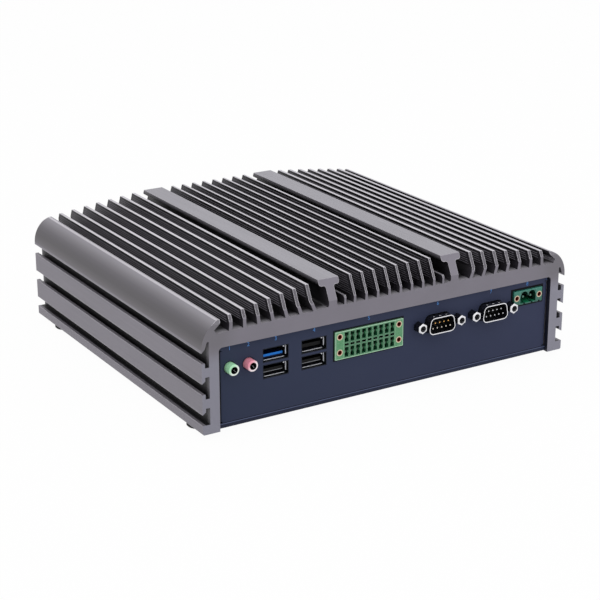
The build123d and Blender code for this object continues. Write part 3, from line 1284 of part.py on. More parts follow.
# Video jacks in the rear panel: folded shell with cut lower corners, and a core with a tongue
for number, video_x in enumerate(VIDEO_X, start=1):
    with BuildPart() as video_shell:
        with BuildSketch(rear(video_x, VIDEO_Z)) as video_outer:
            Rectangle(VIDEO_W, VIDEO_H)
            chamfer(video_outer.vertices().group_by(Axis.Y)[0], VIDEO_CUT)
        extrude(amount=-VIDEO_L)
        with BuildSketch(rear(video_x, VIDEO_Z)) as video_inner:
            Rectangle(VIDEO_W - 2 * VIDEO_SHEET, VIDEO_H - 2 * VIDEO_SHEET)
            chamfer(video_inner.vertices().group_by(Axis.Y)[0], VIDEO_CUT - VIDEO_SHEET / 2)
        extrude(amount=VIDEO_SHEET - VIDEO_L, mode=Mode.SUBTRACT)
        with BuildSketch(rear(video_x, VIDEO_Z - VIDEO_H / 2, -SHEET_T - HOLE_GAP)):
            leg_w = VIDEO_W - 2 * VIDEO_CUT
            Rectangle(leg_w, VIDEO_LIFT, align=(Align.CENTER, Align.MAX))
        extrude(amount=SHEET_T + HOLE_GAP - VIDEO_L)
    video_shell.part.label = f"video_shell_{number}"
    export_step(video_shell.part, f"parts/{video_shell.part.label}.step")

    with BuildPart() as video_core:
        with BuildSketch(rear(video_x, VIDEO_Z, VIDEO_SHEET - VIDEO_L)) as video_plug:
            Rectangle(VIDEO_W - 2 * VIDEO_SHEET, VIDEO_H - 2 * VIDEO_SHEET)
            chamfer(video_plug.vertices().group_by(Axis.Y)[0], VIDEO_CUT - VIDEO_SHEET / 2)
        extrude(amount=VIDEO_CORE_L)
        with BuildSketch(rear(video_x, VIDEO_Z, VIDEO_SHEET - VIDEO_L + VIDEO_CORE_L)):
            Rectangle(VIDEO_TONGUE_W, VIDEO_TONGUE_T)
        extrude(amount=VIDEO_L - VIDEO_SHEET - VIDEO_CORE_L - VIDEO_TONGUE_SHY)
    video_core.part.label = f"video_core_{number}"
    export_step(video_core.part, f"parts/{video_core.part.label}.step")


# Power button: bezel with its barrel and nut, sliding cap and the switch behind it
BARREL_BORE_R = BUTTON_R + BUTTON_GAP
BARREL_R = BARREL_BORE_R + BEZEL_WALL
CAP_BACK = BUTTON_FACE - BUTTON_HEAD_L
SWITCH_OUT = CAP_BACK - BUTTON_TRAVEL - BUTTON_GAP

with BuildPart() as button_bezel:
    with BuildSketch(rear(BUTTON_X, BUTTON_Z)):
        Circle(BEZEL_R)
    extrude(amount=BEZEL_T)
    chamfer(button_bezel.edges().group_by(Axis.Y)[-1], BEZEL_T / 3)
    with BuildSketch(rear(BUTTON_X, BUTTON_Z, SWITCH_OUT)):
        Circle(BARREL_R)
    extrude(amount=-SWITCH_OUT)
    with BuildSketch(rear(BUTTON_X, BUTTON_Z, SWITCH_OUT)):
        Circle(BARREL_BORE_R)
    extrude(amount=BEZEL_T - SWITCH_OUT, mode=Mode.SUBTRACT)
button_bezel.part.label = "button_bezel"
export_step(button_bezel.part, "parts/button_bezel.step")

with BuildPart() as button_switch:
    with BuildSketch(rear(BUTTON_X, BUTTON_Z, SWITCH_OUT)):
        Circle(BARREL_R)
    extrude(amount=-SWITCH_L)
    with BuildSketch(rear(BUTTON_X, BUTTON_Z, SWITCH_OUT)):
        Circle(BUTTON_STEM_R + BUTTON_GAP)
    extrude(amount=-(BUTTON_BITE + BUTTON_TRAVEL + BUTTON_GAP), mode=Mode.SUBTRACT)
button_switch.part.label = "button_switch"
export_step(button_switch.part, "parts/button_switch.step")

with BuildPart() as button_nut:
    with BuildSketch(rear(BUTTON_X, BUTTON_Z, -SHEET_T)):
        RegularPolygon(BEZEL_NUT_AF / 2, 6, major_radius=False)
        Circle(BARREL_R + THREAD_GAP, mode=Mode.SUBTRACT)
    extrude(amount=-min(BEZEL_NUT_T, -SWITCH_OUT - SHEET_T + SWITCH_L))
button_nut.part.label = "button_nut"
export_step(button_nut.part, "parts/button_nut.step")

with BuildPart() as power_button:
    with BuildSketch(rear(BUTTON_X, BUTTON_Z, CAP_BACK)):
        Circle(BUTTON_R)
    extrude(amount=BUTTON_HEAD_L)
    fillet(power_button.edges().group_by(Axis.Y)[-1], BUTTON_DISH)
    with BuildSketch(rear(BUTTON_X, BUTTON_Z, CAP_BACK)):
        Circle(BUTTON_STEM_R)
    extrude(amount=-(BUTTON_TRAVEL + BUTTON_GAP + BUTTON_BITE))
power_button.part.label = "power_button"
export_step(power_button.part, "parts/power_button.step")


# Indicator lights and the carrier that holds them over the board
with BuildPart() as indicators:
    with BuildSketch(rear(0, 0, HOLE_GAP)):
        with Locations(*[(-INDICATOR_X, z) for z in INDICATOR_Z]):
            Circle(INDICATOR_R)
    extrude(amount=-INDICATOR_L)
    fillet(indicators.edges().group_by(Axis.Y)[-1], INDICATOR_R / 2)
indicators.part.label = "indicators"
export_step(indicators.part, "parts/indicators.step")

with BuildPart() as indicator_carrier:
    with BuildSketch(rear(INDICATOR_X, BOARD_TOP, -SHEET_T - HOLE_GAP)):
        carrier_h = INDICATOR_Z[-1] + 2 * INDICATOR_R - BOARD_TOP
        Rectangle(INDICATOR_CARRIER_W, carrier_h, align=(Align.CENTER, Align.MIN))
    extrude(amount=-INDICATOR_CARRIER_L)
    with BuildSketch(rear(0, 0, -SHEET_T - HOLE_GAP)):
        with Locations(*[(-INDICATOR_X, z) for z in INDICATOR_Z]):
            Circle(INDICATOR_R)
    extrude(amount=-(INDICATOR_L - HOLE_GAP - SHEET_T - HOLE_GAP), mode=Mode.SUBTRACT)
indicator_carrier.part.label = "indicator_carrier"
export_step(indicator_carrier.part, "parts/indicator_carrier.step")
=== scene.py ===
import math

import bpy
from mathutils import Matrix, Vector


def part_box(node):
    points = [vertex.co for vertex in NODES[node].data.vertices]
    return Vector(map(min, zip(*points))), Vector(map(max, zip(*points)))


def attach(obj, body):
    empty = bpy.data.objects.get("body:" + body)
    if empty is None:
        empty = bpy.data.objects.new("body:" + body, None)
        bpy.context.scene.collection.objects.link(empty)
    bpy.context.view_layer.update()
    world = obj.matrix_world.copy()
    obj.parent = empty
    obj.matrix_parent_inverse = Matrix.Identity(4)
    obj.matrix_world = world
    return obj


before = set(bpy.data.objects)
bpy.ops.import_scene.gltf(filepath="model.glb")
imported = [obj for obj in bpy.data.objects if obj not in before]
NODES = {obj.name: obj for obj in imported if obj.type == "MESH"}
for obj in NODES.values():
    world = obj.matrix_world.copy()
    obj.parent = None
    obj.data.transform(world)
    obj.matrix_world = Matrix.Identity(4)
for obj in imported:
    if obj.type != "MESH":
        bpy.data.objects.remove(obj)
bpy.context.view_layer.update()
BODY = "enclosure"
MM = 0.001

# Sizes of the chassis section, in metres, as the solids have them
BASE_Z = 3.5 * MM
CHASSIS_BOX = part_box("chassis")
FRONT_Y = CHASSIS_BOX[0][1]
BACK_Y = CHASSIS_BOX[1][1]
SIDE_X = CHASSIS_BOX[1][0]
PANEL_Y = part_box("front_panel")[0][1]
PANEL_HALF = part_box("front_panel")[1][0]
REAR_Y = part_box("base_tray")[1][1]
DECK_Z = BASE_Z + 52.9 * MM
SLANT_Z = BASE_Z + 56.2 * MM
SLANT_ANGLE = math.radians(26.0)
SHOULDER_R = 15.0 * MM
SHOULDER_X = SIDE_X - SHOULDER_R
SHOULDER_Z = BASE_Z + 44.3 * MM
LIP_X = SIDE_X - 8.2 * MM
CREST_ANGLE = math.radians(65.2)
FLANGE_T = 1.85 * MM
GROOVE_D = 4.15 * MM
GROOVE_TOP = BASE_Z + 52.5 * MM
OPEN_HALF = SIDE_X - 9.55 * MM
DECK_LOW = BASE_Z + 43.9 * MM
RAIL_X = 37.6 * MM
RAIL_HALF = 6.0 * MM
RAIL_Z = BASE_Z + 63.4 * MM

# Middle fins: centres, thickness and top
MID_PITCH = 7.0 * MM
MID_PAIRS = 4
MID_TOP = BASE_Z + 66.4 * MM
MID_HALF_T = 0.65 * MM

# Side fins: first centre line, pitch, thickness, and how kink and top fall outward
SIDE_FIRST = 50.3 * MM
SIDE_PITCH = 7.6 * MM
SIDE_COUNT = 7
SIDE_HALF_T = 0.9 * MM
SIDE_KINK = BASE_Z + 58.0 * MM
SIDE_KINK_DROP = 0.6 * MM
SIDE_TOP = BASE_Z + 65.65 * MM
SIDE_DROP = 0.79 * MM
SIDE_DROP_GROWTH = 0.04 * MM

# Fine ridges along the fin walls
RIDGE_PITCH = 1.15 * MM
RIDGE_W = 0.5 * MM
RIDGE_H = 0.2 * MM
RIDGE_TOP_GAP = 1.7 * MM
RIDGE_LOW_GAP = 0.4 * MM
RIDGE_END_GAP = 2.5 * MM

# Connectors: axes, heights and front faces
AUDIO_X = (-95.85 * MM, -85.35 * MM)
AUDIO_Z = BASE_Z + 31.8 * MM
AUDIO_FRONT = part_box("audio_jack_green")[0][1]
AUDIO_BORE = 1.8 * MM
AUDIO_RIM = 2.9 * MM
PORT_X = (-69.8 * MM, -47.5 * MM)
PORT_LOW_Z = BASE_Z + 25.25 * MM
PORT_PITCH = 8.6 * MM
PORT_HALF_W = 6.55 * MM
PORT_HALF_H = 2.8 * MM
PORT_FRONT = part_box("port_shell_left")[0][1]
LIP_T = 0.3 * MM
LIP_INSET = 0.5 * MM
LOW_LIP_OUT = 0.4 * MM
SIDE_LIP_RISE = 1.0 * MM
SIDE_LIP_OUT = 0.6 * MM
LIP_LINE = 1.2 * MM
BRIGHT_DROP = 1.75 * MM
SPRING_SIZE = (0.7 * MM, 1.0 * MM, 0.6 * MM)
SPRING_INSET = (1.3 * MM, 0.9 * MM)
SIGNAL_X = -14.65 * MM
SIGNAL_Z = BASE_Z + 30.6 * MM
SIGNAL_NUT_X = 18.15 * MM
SIGNAL_NUT_Z = (4.75 * MM, -3.75 * MM)
SIGNAL_CELLS = (15.35 * MM, 6.9 * MM)
SIGNAL_HALF = (20.75 * MM, 7.5 * MM)
HEADER_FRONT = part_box("signal_header")[0][1]
SERIAL_X = (28.6 * MM, 63.5 * MM)
SERIAL_Z = BASE_Z + 31.3 * MM
SERIAL_TOP = SERIAL_Z + 4.6 * MM
SERIAL_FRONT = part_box("serial_shell_1")[0][1]
DIMPLE_PITCH = 3.9 * MM
DIMPLE_R = 0.55 * MM
DIMPLE_Y = PANEL_Y - 2.4 * MM
JACK_STEP = 12.495 * MM
JACK_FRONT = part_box("jackscrews")[0][1]
JACK_BORE = 1.4 * MM
JACK_SINK = 0.3 * MM
THREAD_PITCH = 0.6 * MM
POWER_X = 88.2 * MM
POWER_Z = BASE_Z + 35.0 * MM
POWER_NUT_X = 7.62 * MM
POWER_CELL = (5.35 * MM, 3.35 * MM)
POWER_HALF = (10.16 * MM, 4.3 * MM)
POWER_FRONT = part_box("power_header")[0][1]
INDICATOR_MID_Z = BASE_Z + 30.0 * MM
NETWORK_X = (-74.0 * MM, -54.0 * MM)
NETWORK_ROOF = BASE_Z + 32.3 * MM
NETWORK_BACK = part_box("network_insert_1")[1][1]
CONTACT_COUNT = 8
CONTACT_PITCH = 1.02 * MM
RIB_SIZE = (0.55 * MM, 4.0 * MM, 1.3 * MM)
RIB_BACK = 0.3 * MM
SIGNAL_COUNT = 9
SIGNAL_PITCH = 3.5 * MM
SIGNAL_CELL_HALF = 1.25 * MM
SIGNAL_ROW = 4.0 * MM
NUT_BORE = 1.15 * MM

# Spring wires and leaves in the jacks: run and drop of each bend in millimetres, and sizes
WIRE_PATH = ((10.0, 2.6), (5.0, 1.5), (1.5, 0.5))
WIRE_SIZE = (0.35 * MM, 0.3 * MM)
LEAF_PATH = ((0.0, 1.2), (1.2, 0.7), (2.4, 0.9), (4.0, 1.3))
LEAF_SIZE = (0.4 * MM, 0.25 * MM)
LEAF_OUT = 1.0 * MM
LEAF_STARTS = ((1, 1.2 * MM), (-1, 3.0 * MM))

# Folded lower hem of the panel
BEND_R = 2.6 * MM
BEND_LOW = BASE_Z + 0.8 * MM
HEM_TOP = BASE_Z + 3.0 * MM
HEM_LOW = BASE_Z + 0.35 * MM
HEM_R = 0.7 * MM
HEM_PROUD = 0.08 * MM
HEM_BACK = 3.0 * MM
HEM_TUCK = 0.03 * MM
HEM_LINE = 0.45 * MM
HEM_STEPS = 6

# Numbers printed on the panel
NUMBER_X = (*AUDIO_X, *PORT_X, SIGNAL_X, *SERIAL_X, POWER_X)
NUMBER_Z = BASE_Z + 40.9 * MM
NUMBER_SIZE = 3.0 * MM
INK_T = 0.03 * MM

# How far the masks of the chassis's material reach
SKIN = 0.1 * MM
WALL_END_X = (SIDE_X - 16 * MM, SIDE_X - 9 * MM)
WALL_END_Z = (BASE_Z + 36 * MM, BASE_Z + 43 * MM)
LIP_END_X = (SIDE_X - 22 * MM, SIDE_X - 10 * MM)
LIP_END_Z = (BASE_Z + 40 * MM, BASE_Z + 46 * MM)
FIN_END_LOW = SLANT_Z + 0.6 * MM
FIN_END_OUT = RAIL_HALF + 0.3 * MM
FIN_TOP_LOW = DECK_Z + 6 * MM
BETWEEN_LOW = DECK_Z - 2.2 * MM
DECK_HIGH = DECK_Z + 3 * MM
SHOULDER_SKIN = 0.25 * MM
SHEEN_SPAN = math.radians(70.0)
HEAD_OUT = RAIL_HALF + 0.2 * MM
HEAD_LOW = RAIL_Z - 0.2 * MM
HEAD_EDGE = RAIL_Z + 0.8 * MM
OPEN_DEPTH = 3 * MM
WALL_FADE = (0.0, 9 * MM)
DECK_FADE = (1.5 * MM, 5.5 * MM)
GROOVE_FADE = (1.0 * MM, 3.5 * MM)
END_EDGE = 1 * MM
HIGHLIGHT_EDGE = 0.5 * MM
FIN_EDGE = 0.42 * MM

# How far the masks of the panel's and the connectors' materials reach
LEFT_RIM = 1.4 * MM
RIGHT_RIM = 0.5 * MM
RIGHT_LINE = 1.2 * MM
WINDOW_LOW = BASE_Z + 5 * MM
WINDOW_HIGH = DECK_Z - 10 * MM
WINDOW_HALF = PANEL_HALF - 3 * MM
WINDOW_BACK = PANEL_Y + 2 * MM
SHEET_DEPTH = 3 * MM
SHADOW_GAP = 0.9 * MM
AUDIO_GAP = 0.5 * MM
AUDIO_FACE = 0.5 * MM
AUDIO_SHADE = (-3 * MM, 1 * MM)
BORE_SKIN = 0.08 * MM
NUT_SKIN = 0.12 * MM
PORT_SPLIT = PORT_LOW_Z + PORT_PITCH / 2 + 0.6 * MM
TONGUE_DEPTH = 10 * MM
PAINT_EDGE = 0.3 * MM
MOULD_EDGE = 0.2 * MM
HEADER_BORDER = 0.35 * MM
HEADER_FACE = 0.6 * MM
CELL_FADE = (0.2 * MM, 5 * MM)
SLOT_HALF = 1.1 * MM
SERIAL_RIM = 0.4 * MM
SERIAL_ROOF = SERIAL_TOP - 0.3 * MM
JACK_RING = 0.45 * MM

# How squarely a face has to look along an axis to belong to a mask
LOOSELY = 0.4
MOSTLY = 0.5
SQUARELY = 0.8
EXACTLY = 0.9

# Grain of the surfaces: noise scale and depth
BRUSH_DEPTH = 0.04 * MM
PAINT_GRAIN = 2200
PAINT_DEPTH = 0.03 * MM
MOULD_DEPTH = 0.02 * MM
PLAIN_GRAIN = 900
PLAIN_DEPTH = 0.03 * MM
SMOOTH_ANGLE = math.radians(35.0)

# Camera: solved from the photograph's edges and standard connector sizes
CAMERA_PLACE = Vector((-446.33, -742.10, 328.94)) * MM
CAMERA_RIGHT = Vector((0.854236, -0.519881, -0.001942))
CAMERA_UP = Vector((0.175010, 0.284045, 0.942703))
CAMERA_AHEAD = Vector((0.489542, 0.805631, -0.333626))
CAMERA_LENS = 96.958
SENSOR = 36.0
CLIP = (0.05, 50.0)


def make_camera():
    data = bpy.data.cameras.new("camera")
    data.lens = CAMERA_LENS
    data.sensor_width = SENSOR
    data.clip_start, data.clip_end = CLIP
    camera = bpy.data.objects.new("camera", data)
    bpy.context.scene.collection.objects.link(camera)
    turn = Matrix((CAMERA_RIGHT, CAMERA_UP, -CAMERA_AHEAD)).transposed()
    camera.matrix_world = Matrix.Translation(CAMERA_PLACE) @ turn.to_4x4()
    bpy.context.scene.camera = camera


# Light, floor and background
WORLD_LEVEL = 0.72
FLOOR_HALF = 4.0
FLOOR_ALBEDO = 0.8
FLOOR_WHITE = 0.97
KEY_POWER = 9.0
KEY_SIZE = 1.6
KEY_PLACE = Vector((-0.35, -0.25, 1.6))
FILL_POWER = 3.0
FILL_SIZE = 1.2
FILL_PLACE = Vector((0.9, -1.1, 0.9))


def seen_directly(nodes, links):
    """1 for camera, glossy and transmission rays, 0 for the light that falls on the object."""
    path = nodes.new("ShaderNodeLightPath")
    first = nodes.new("ShaderNodeMath")
    first.operation = "MAXIMUM"
    second = nodes.new("ShaderNodeMath")
    second.operation = "MAXIMUM"
    links.new(path.outputs["Is Camera Ray"], first.inputs[0])
    links.new(path.outputs["Is Glossy Ray"], first.inputs[1])
    links.new(first.outputs[0], second.inputs[0])
    links.new(path.outputs["Is Transmission Ray"], second.inputs[1])
    return second.outputs[0]


def make_world():
    world = bpy.data.worlds.new("studio")
    bpy.context.scene.world = world
    world.use_nodes = True
    nodes, links = world.node_tree.nodes, world.node_tree.links
    nodes.clear()
    light = nodes.new("ShaderNodeBackground")
    light.inputs["Color"].default_value = (1, 1, 1, 1)
    light.inputs["Strength"].default_value = WORLD_LEVEL
    white = nodes.new("ShaderNodeBackground")
    white.inputs["Color"].default_value = (1, 1, 1, 1)
    white.inputs["Strength"].default_value = 1.0
    mix = nodes.new("ShaderNodeMixShader")
    out = nodes.new("ShaderNodeOutputWorld")
    links.new(seen_directly(nodes, links), mix.inputs[0])
    links.new(light.outputs[0], mix.inputs[1])
    links.new(white.outputs[0], mix.inputs[2])
    links.new(mix.outputs[0], out.inputs["Surface"])


def make_floor():
    corners = [(-1, -1), (1, -1), (1, 1), (-1, 1)]
    mesh = bpy.data.meshes.new("floor")
    mesh.from_pydata([(x * FLOOR_HALF, y * FLOOR_HALF, 0) for x, y in corners], [], [(0, 1, 2, 3)])
    floor = bpy.data.objects.new("floor", mesh)
    bpy.context.scene.collection.objects.link(floor)
    mat = bpy.data.materials.new("floor")
    mat.use_nodes = True
    nodes, links = mat.node_tree.nodes, mat.node_tree.links
    nodes.clear()
    paint = nodes.new("ShaderNodeBsdfDiffuse")
    paint.inputs["Color"].default_value = (FLOOR_ALBEDO, FLOOR_ALBEDO, FLOOR_ALBEDO, 1)
    glow = nodes.new("ShaderNodeEmission")
    glow.inputs["Strength"].default_value = 1.0
    scale = nodes.new("ShaderNodeMath")
    scale.operation = "MULTIPLY"
    scale.inputs[1].default_value = FLOOR_WHITE
    mix = nodes.new("ShaderNodeMixShader")
    out = nodes.new("ShaderNodeOutputMaterial")
    links.new(seen_directly(nodes, links), scale.inputs[0])
    links.new(scale.outputs[0], mix.inputs[0])
    links.new(paint.outputs[0], mix.inputs[1])
    links.new(glow.outputs[0], mix.inputs[2])
    links.new(mix.outputs[0], out.inputs["Surface"])
    mesh.materials.append(mat)


def make_lamp(name, place, size, power):
    data = bpy.data.lights.new(name, "AREA")
    data.shape = "DISK"
    data.size = size
    data.energy = power
    lamp = bpy.data.objects.new(name, data)
    bpy.context.scene.collection.objects.link(lamp)
    lamp.location = place
    lamp.rotation_mode = "QUATERNION"
    lamp.rotation_quaternion = (-place).to_track_quat("-Z", "Y")


# Colours, as linear light
def srgb(r, g, b):
    """Linear colour of an sRGB colour given from 0 to 255."""
    out = []
    for v in (r, g, b):
        v /= 255.0
        out.append(v / 12.92 if v <= 0.04045 else ((v + 0.055) / 1.055) ** 2.4)
    return (*out, 1.0)


class Surface:
    """A material on one Principled shader, with short calls for the nodes that vary it."""

    def __init__(self, name, color, metallic=0.0, roughness=0.5, **sockets):
        self.mat = bpy.data.materials.new(name)
        self.mat.use_nodes = True
        self.nodes = self.mat.node_tree.nodes
        self.links = self.mat.node_tree.links
        self.shader = self.nodes["Principled BSDF"]
        self.set("Base Color", color)
        self.set("Metallic", metallic)
        self.set("Roughness", roughness)
        for socket, value in sockets.items():
            self.set(socket.replace("_", " "), value)

    def set(self, socket, value):
        self.feed(value, self.shader.inputs[socket])

    def node(self, kind, **values):
        node = self.nodes.new(kind)
        for key, value in values.items():
            setattr(node, key, value)
        return node

    def feed(self, value, socket):
        if isinstance(value, bpy.types.NodeSocket):
            self.links.new(value, socket)
        else:
            socket.default_value = value

    def place(self):
        """X, Y and Z of the point on the object, in metres."""
        coords = self.node("ShaderNodeTexCoord")
        split = self.node("ShaderNodeSeparateXYZ")
        self.links.new(coords.outputs["Object"], split.inputs[0])
        return split.outputs

    def facing(self):
        """X, Y and Z of the surface's own direction."""
        geometry = self.node("ShaderNodeNewGeometry")
        split = self.node("ShaderNodeSeparateXYZ")
        self.links.new(geometry.outputs["True Normal"], split.inputs[0])
        return split.outputs

    def math(self, operation, a, b=0.0):
        node = self.node("ShaderNodeMath", operation=operation)
        self.feed(a, node.inputs[0])
        self.feed(b, node.inputs[1])
        return node.outputs[0]

    def above(self, value, limit):
        return self.math("GREATER_THAN", value, limit)

    def below(self, value, limit):
        return self.math("LESS_THAN", value, limit)

    def fold(self, operation, values):
        result = values[0]
        for value in values[1:]:
            result = self.math(operation, result, value)
        return result

    def both(self, *masks):
        return self.fold("MULTIPLY", masks)

    def either(self, *masks):
        return self.fold("MAXIMUM", masks)

    def apart(self, value, centre):
        """Distance of a coordinate from a centre."""
        return self.math("ABSOLUTE", self.math("SUBTRACT", value, centre))

    def mix(self, factor, a, b):
        node = self.node("ShaderNodeMix", data_type="RGBA")
        self.feed(factor, node.inputs["Factor"])
        self.feed(a, node.inputs[6])
        self.feed(b, node.inputs[7])
        return node.outputs[2]

    def noise(self, scale, stretch=(1, 1, 1), detail=2.0):
        coords = self.node("ShaderNodeTexCoord")
        mapping = self.node("ShaderNodeMapping")
        mapping.inputs["Scale"].default_value = stretch
        noise = self.node("ShaderNodeTexNoise")
        noise.inputs["Scale"].default_value = scale
        noise.inputs["Detail"].default_value = detail
        self.links.new(coords.outputs["Object"], mapping.inputs[0])
        self.links.new(mapping.outputs[0], noise.inputs["Vector"])
        return noise.outputs["Fac"]

    def stops(self, factor, colors):
        """Colour that runs through evenly spaced stops as the factor goes from 0 to 1."""
        node = self.node("ShaderNodeValToRGB")
        self.feed(factor, node.inputs["Fac"])
        ramp = node.color_ramp
        for i, color in enumerate(colors):
            stop = ramp.elements[i] if i < 2 else ramp.elements.new(1.0)
            stop.position = i / (len(colors) - 1)
            stop.color = color
        return node.outputs["Color"]

    def edges(self, radius):
        """1 along sharp edges and 0 on flat or smooth faces."""
        bevel = self.node("ShaderNodeBevel", samples=6)
        bevel.inputs["Radius"].default_value = radius
        geometry = self.node("ShaderNodeNewGeometry")
        dot = self.node("ShaderNodeVectorMath", operation="DOT_PRODUCT")
        self.links.new(bevel.outputs[0], dot.inputs[0])
        self.links.new(geometry.outputs["Normal"], dot.inputs[1])
        return self.ramp(dot.outputs["Value"], 1.0, 0.0, 0.8, 0.99)

    def reach(self, across, along, centre_across, centre_along):
        """Distance of the point from a line, given its two coordinates across that line."""
        a = self.math("SUBTRACT", across, centre_across)
        b = self.math("SUBTRACT", along, centre_along)
        squares = self.math("ADD", self.math("MULTIPLY", a, a), self.math("MULTIPLY", b, b))
        return self.math("SQRT", squares)

    def invert(self, mask):
        return self.math("SUBTRACT", 1.0, mask)

    def ramp(self, factor, low, high, from_low=0.0, from_high=1.0):
        node = self.node("ShaderNodeMapRange")
        self.feed(factor, node.inputs["Value"])
        node.inputs["From Min"].default_value = from_low
        node.inputs["From Max"].default_value = from_high
        node.inputs["To Min"].default_value = low
        node.inputs["To Max"].default_value = high
        return node.outputs[0]

    def bump(self, height, distance, strength):
        node = self.node("ShaderNodeBump")
        node.inputs["Strength"].default_value = strength
        node.inputs["Distance"].default_value = distance
        self.links.new(height, node.inputs["Height"])
        self.set("Normal", node.outputs[0])


# Materials
def chassis_surface():
    """Satin grey extrusion: brushed rails, pale fin tops, fin walls and side grooves painted dark as
    shade, and painted highlights and reflections.
    """
    s = Surface("anodised_extrusion", srgb(122, 118, 125), 0.3, 0.5)
    x, y, z = s.place()
    nx, ny, nz = s.facing()
    side = s.math("ABSOLUTE", x)
    turn = s.math("ABSOLUTE", nx)
    brush = s.noise(1.0, (900, 14, 900), 3.0)
    cloud = s.noise(60, (1, 0.3, 1), 3.0)
    grain = s.noise(2600)
    # Colours of the painted highlights and of the painted shade
    edge_highlight = srgb(205, 202, 209)
    shade = srgb(14, 13, 17)

    # Distance from the nearer end, which slants back above the deck
    over = s.math("MAXIMUM", s.math("SUBTRACT", z, SLANT_Z), 0.0)
    slant = s.math("MULTIPLY", over, math.tan(SLANT_ANGLE))
    to_end = s.math("MINIMUM", s.math("SUBTRACT", y, FRONT_Y), s.math("SUBTRACT", BACK_Y, y))
    depth = s.math("SUBTRACT", to_end, slant)
    end = s.above(s.math("ABSOLUTE", ny), LOOSELY)
    plain = s.invert(end)

    # Sides, ends and the rounded shoulder, which carries a painted reflection: a sheen with a dark
    # band in the middle
    body = s.mix(s.ramp(brush, 0.0, 1.0, 0.3, 0.7), srgb(127, 123, 132), srgb(132, 128, 137))
    wall_end = s.both(s.ramp(side, 0.0, 1.0, *WALL_END_X), s.ramp(z, 1.0, 0.0, *WALL_END_Z))
    end_grey = s.mix(wall_end, srgb(125, 121, 131), srgb(139, 138, 151))
    to_rail = s.apart(side, RAIL_X)
    fin_end = s.both(s.above(z, FIN_END_LOW), s.above(to_rail, FIN_END_OUT))
    end_grey = s.mix(fin_end, end_grey, srgb(96, 93, 100))
    lip_end = s.both(s.ramp(side, 0.0, 1.0, *LIP_END_X), s.ramp(z, 0.0, 1.0, *LIP_END_Z))
    end_grey = s.mix(lip_end, end_grey, srgb(116, 113, 120))
    body = s.mix(end, body, end_grey)
    angle = s.math("ARCTAN2", s.math("SUBTRACT", z, SHOULDER_Z), s.math("SUBTRACT", side, SHOULDER_X))
    from_axis = s.reach(side, z, SHOULDER_X, SHOULDER_Z)
    shoulder = s.both(
        s.above(from_axis, SHOULDER_R - SHOULDER_SKIN), s.above(side, SHOULDER_X),
        s.above(z, SHOULDER_Z), plain,
    )
    painted_sheen = s.stops(
        s.ramp(angle, 0.0, 1.0, 0.0, SHEEN_SPAN),
        [srgb(110, 106, 112), srgb(95, 92, 96), srgb(86, 83, 87), srgb(88, 85, 90),
         srgb(98, 95, 101), srgb(118, 115, 121), srgb(136, 133, 140), srgb(142, 139, 146)],
    )
    body = s.mix(shoulder, body, painted_sheen)
    # Painted highlight along the shoulder's crest
    crest = s.both(shoulder, s.above(angle, CREST_ANGLE), 0.75)
    body = s.mix(crest, body, edge_highlight)

    # Tops of the rails and fins
    up = s.above(nz, SQUARELY)
    on_rail = s.both(up, s.above(z, MID_TOP + SKIN))
    body = s.mix(s.both(up, s.above(z, FIN_TOP_LOW)), body, srgb(198, 195, 202))
    rail_grey = s.mix(s.ramp(brush, 0.0, 1.0, 0.25, 0.75), srgb(146, 144, 151), srgb(154, 152, 160))
    body = s.mix(on_rail, body, rail_grey)

    # Between the fins: painted shade, black on the walls, with the floor painted paler near the ends
    # where light reaches in
    between = s.both(s.above(z, BETWEEN_LOW), s.below(side, LIP_X))
    inner = s.both(between, plain, s.invert(up))
    deck = s.both(between, s.below(z, DECK_HIGH), up)
    fin_wall_shade = s.mix(s.ramp(depth, 0.0, 1.0, *WALL_FADE), srgb(46, 43, 50), srgb(6, 5, 8))
    deck_shade = s.mix(s.ramp(depth, 0.0, 1.0, *DECK_FADE), srgb(150, 147, 154), srgb(16, 15, 18))
    body = s.mix(inner, body, fin_wall_shade)
    body = s.mix(deck, body, deck_shade)

    # The head of each rail catches light along its upper edges only
    head = s.both(inner, s.below(to_rail, HEAD_OUT), s.above(z, HEAD_LOW))
    head_tone = s.mix(s.ramp(z, 0.0, 1.0, HEAD_EDGE, MID_TOP), srgb(20, 18, 22), srgb(118, 115, 122))
    body = s.mix(head, body, head_tone)

    # Grooves of the side walls, in painted shade from a few millimetres behind their ends, with their
    # walls painted paler towards the ends
    groove = s.both(
        s.below(side, SIDE_X - FLANGE_T + SKIN), s.above(side, SIDE_X - GROOVE_D - SKIN),
        s.below(z, GROOVE_TOP), plain, s.invert(shoulder),
    )
    wall_side = s.both(groove, s.above(turn, MOSTLY))
    groove_shade = s.mix(s.ramp(depth, 0.0, 1.0, *GROOVE_FADE), srgb(104, 102, 108), shade)
    body = s.mix(groove, body, shade)
    body = s.mix(wall_side, body, groove_shade)

    # The front opening's inner walls, painted dark navy as the panel's reflection and as shade
    opening = s.both(
        s.below(side, OPEN_HALF + SKIN), s.above(side, OPEN_HALF - OPEN_DEPTH),
        s.above(turn, MOSTLY), s.below(z, DECK_LOW), s.below(to_end, OPEN_DEPTH),
    )
    body = s.mix(opening, body, srgb(20, 24, 42))

    # Painted highlights: brighter edges wherever the metal isn't in painted shade, brightest on the
    # fins' front edges
    dark = s.both(s.either(inner, deck, groove), s.invert(head))
    end_edge = s.both(s.below(depth, END_EDGE), s.below(z, SLANT_Z))
    along = s.both(s.edges(HIGHLIGHT_EDGE), s.invert(dark), s.invert(end_edge), 0.8)
    body = s.mix(along, body, edge_highlight)
    body = s.mix(s.both(fin_end, end, s.edges(FIN_EDGE)), body, srgb(246, 243, 250))
    body = s.mix(s.ramp(cloud, 0.0, 0.1, 0.4, 0.6), body, srgb(100, 97, 103))
    s.set("Base Color", body)
    s.set("Roughness", s.ramp(grain, 0.44, 0.54))
    s.bump(brush, BRUSH_DEPTH, 0.2)
    return s.mat


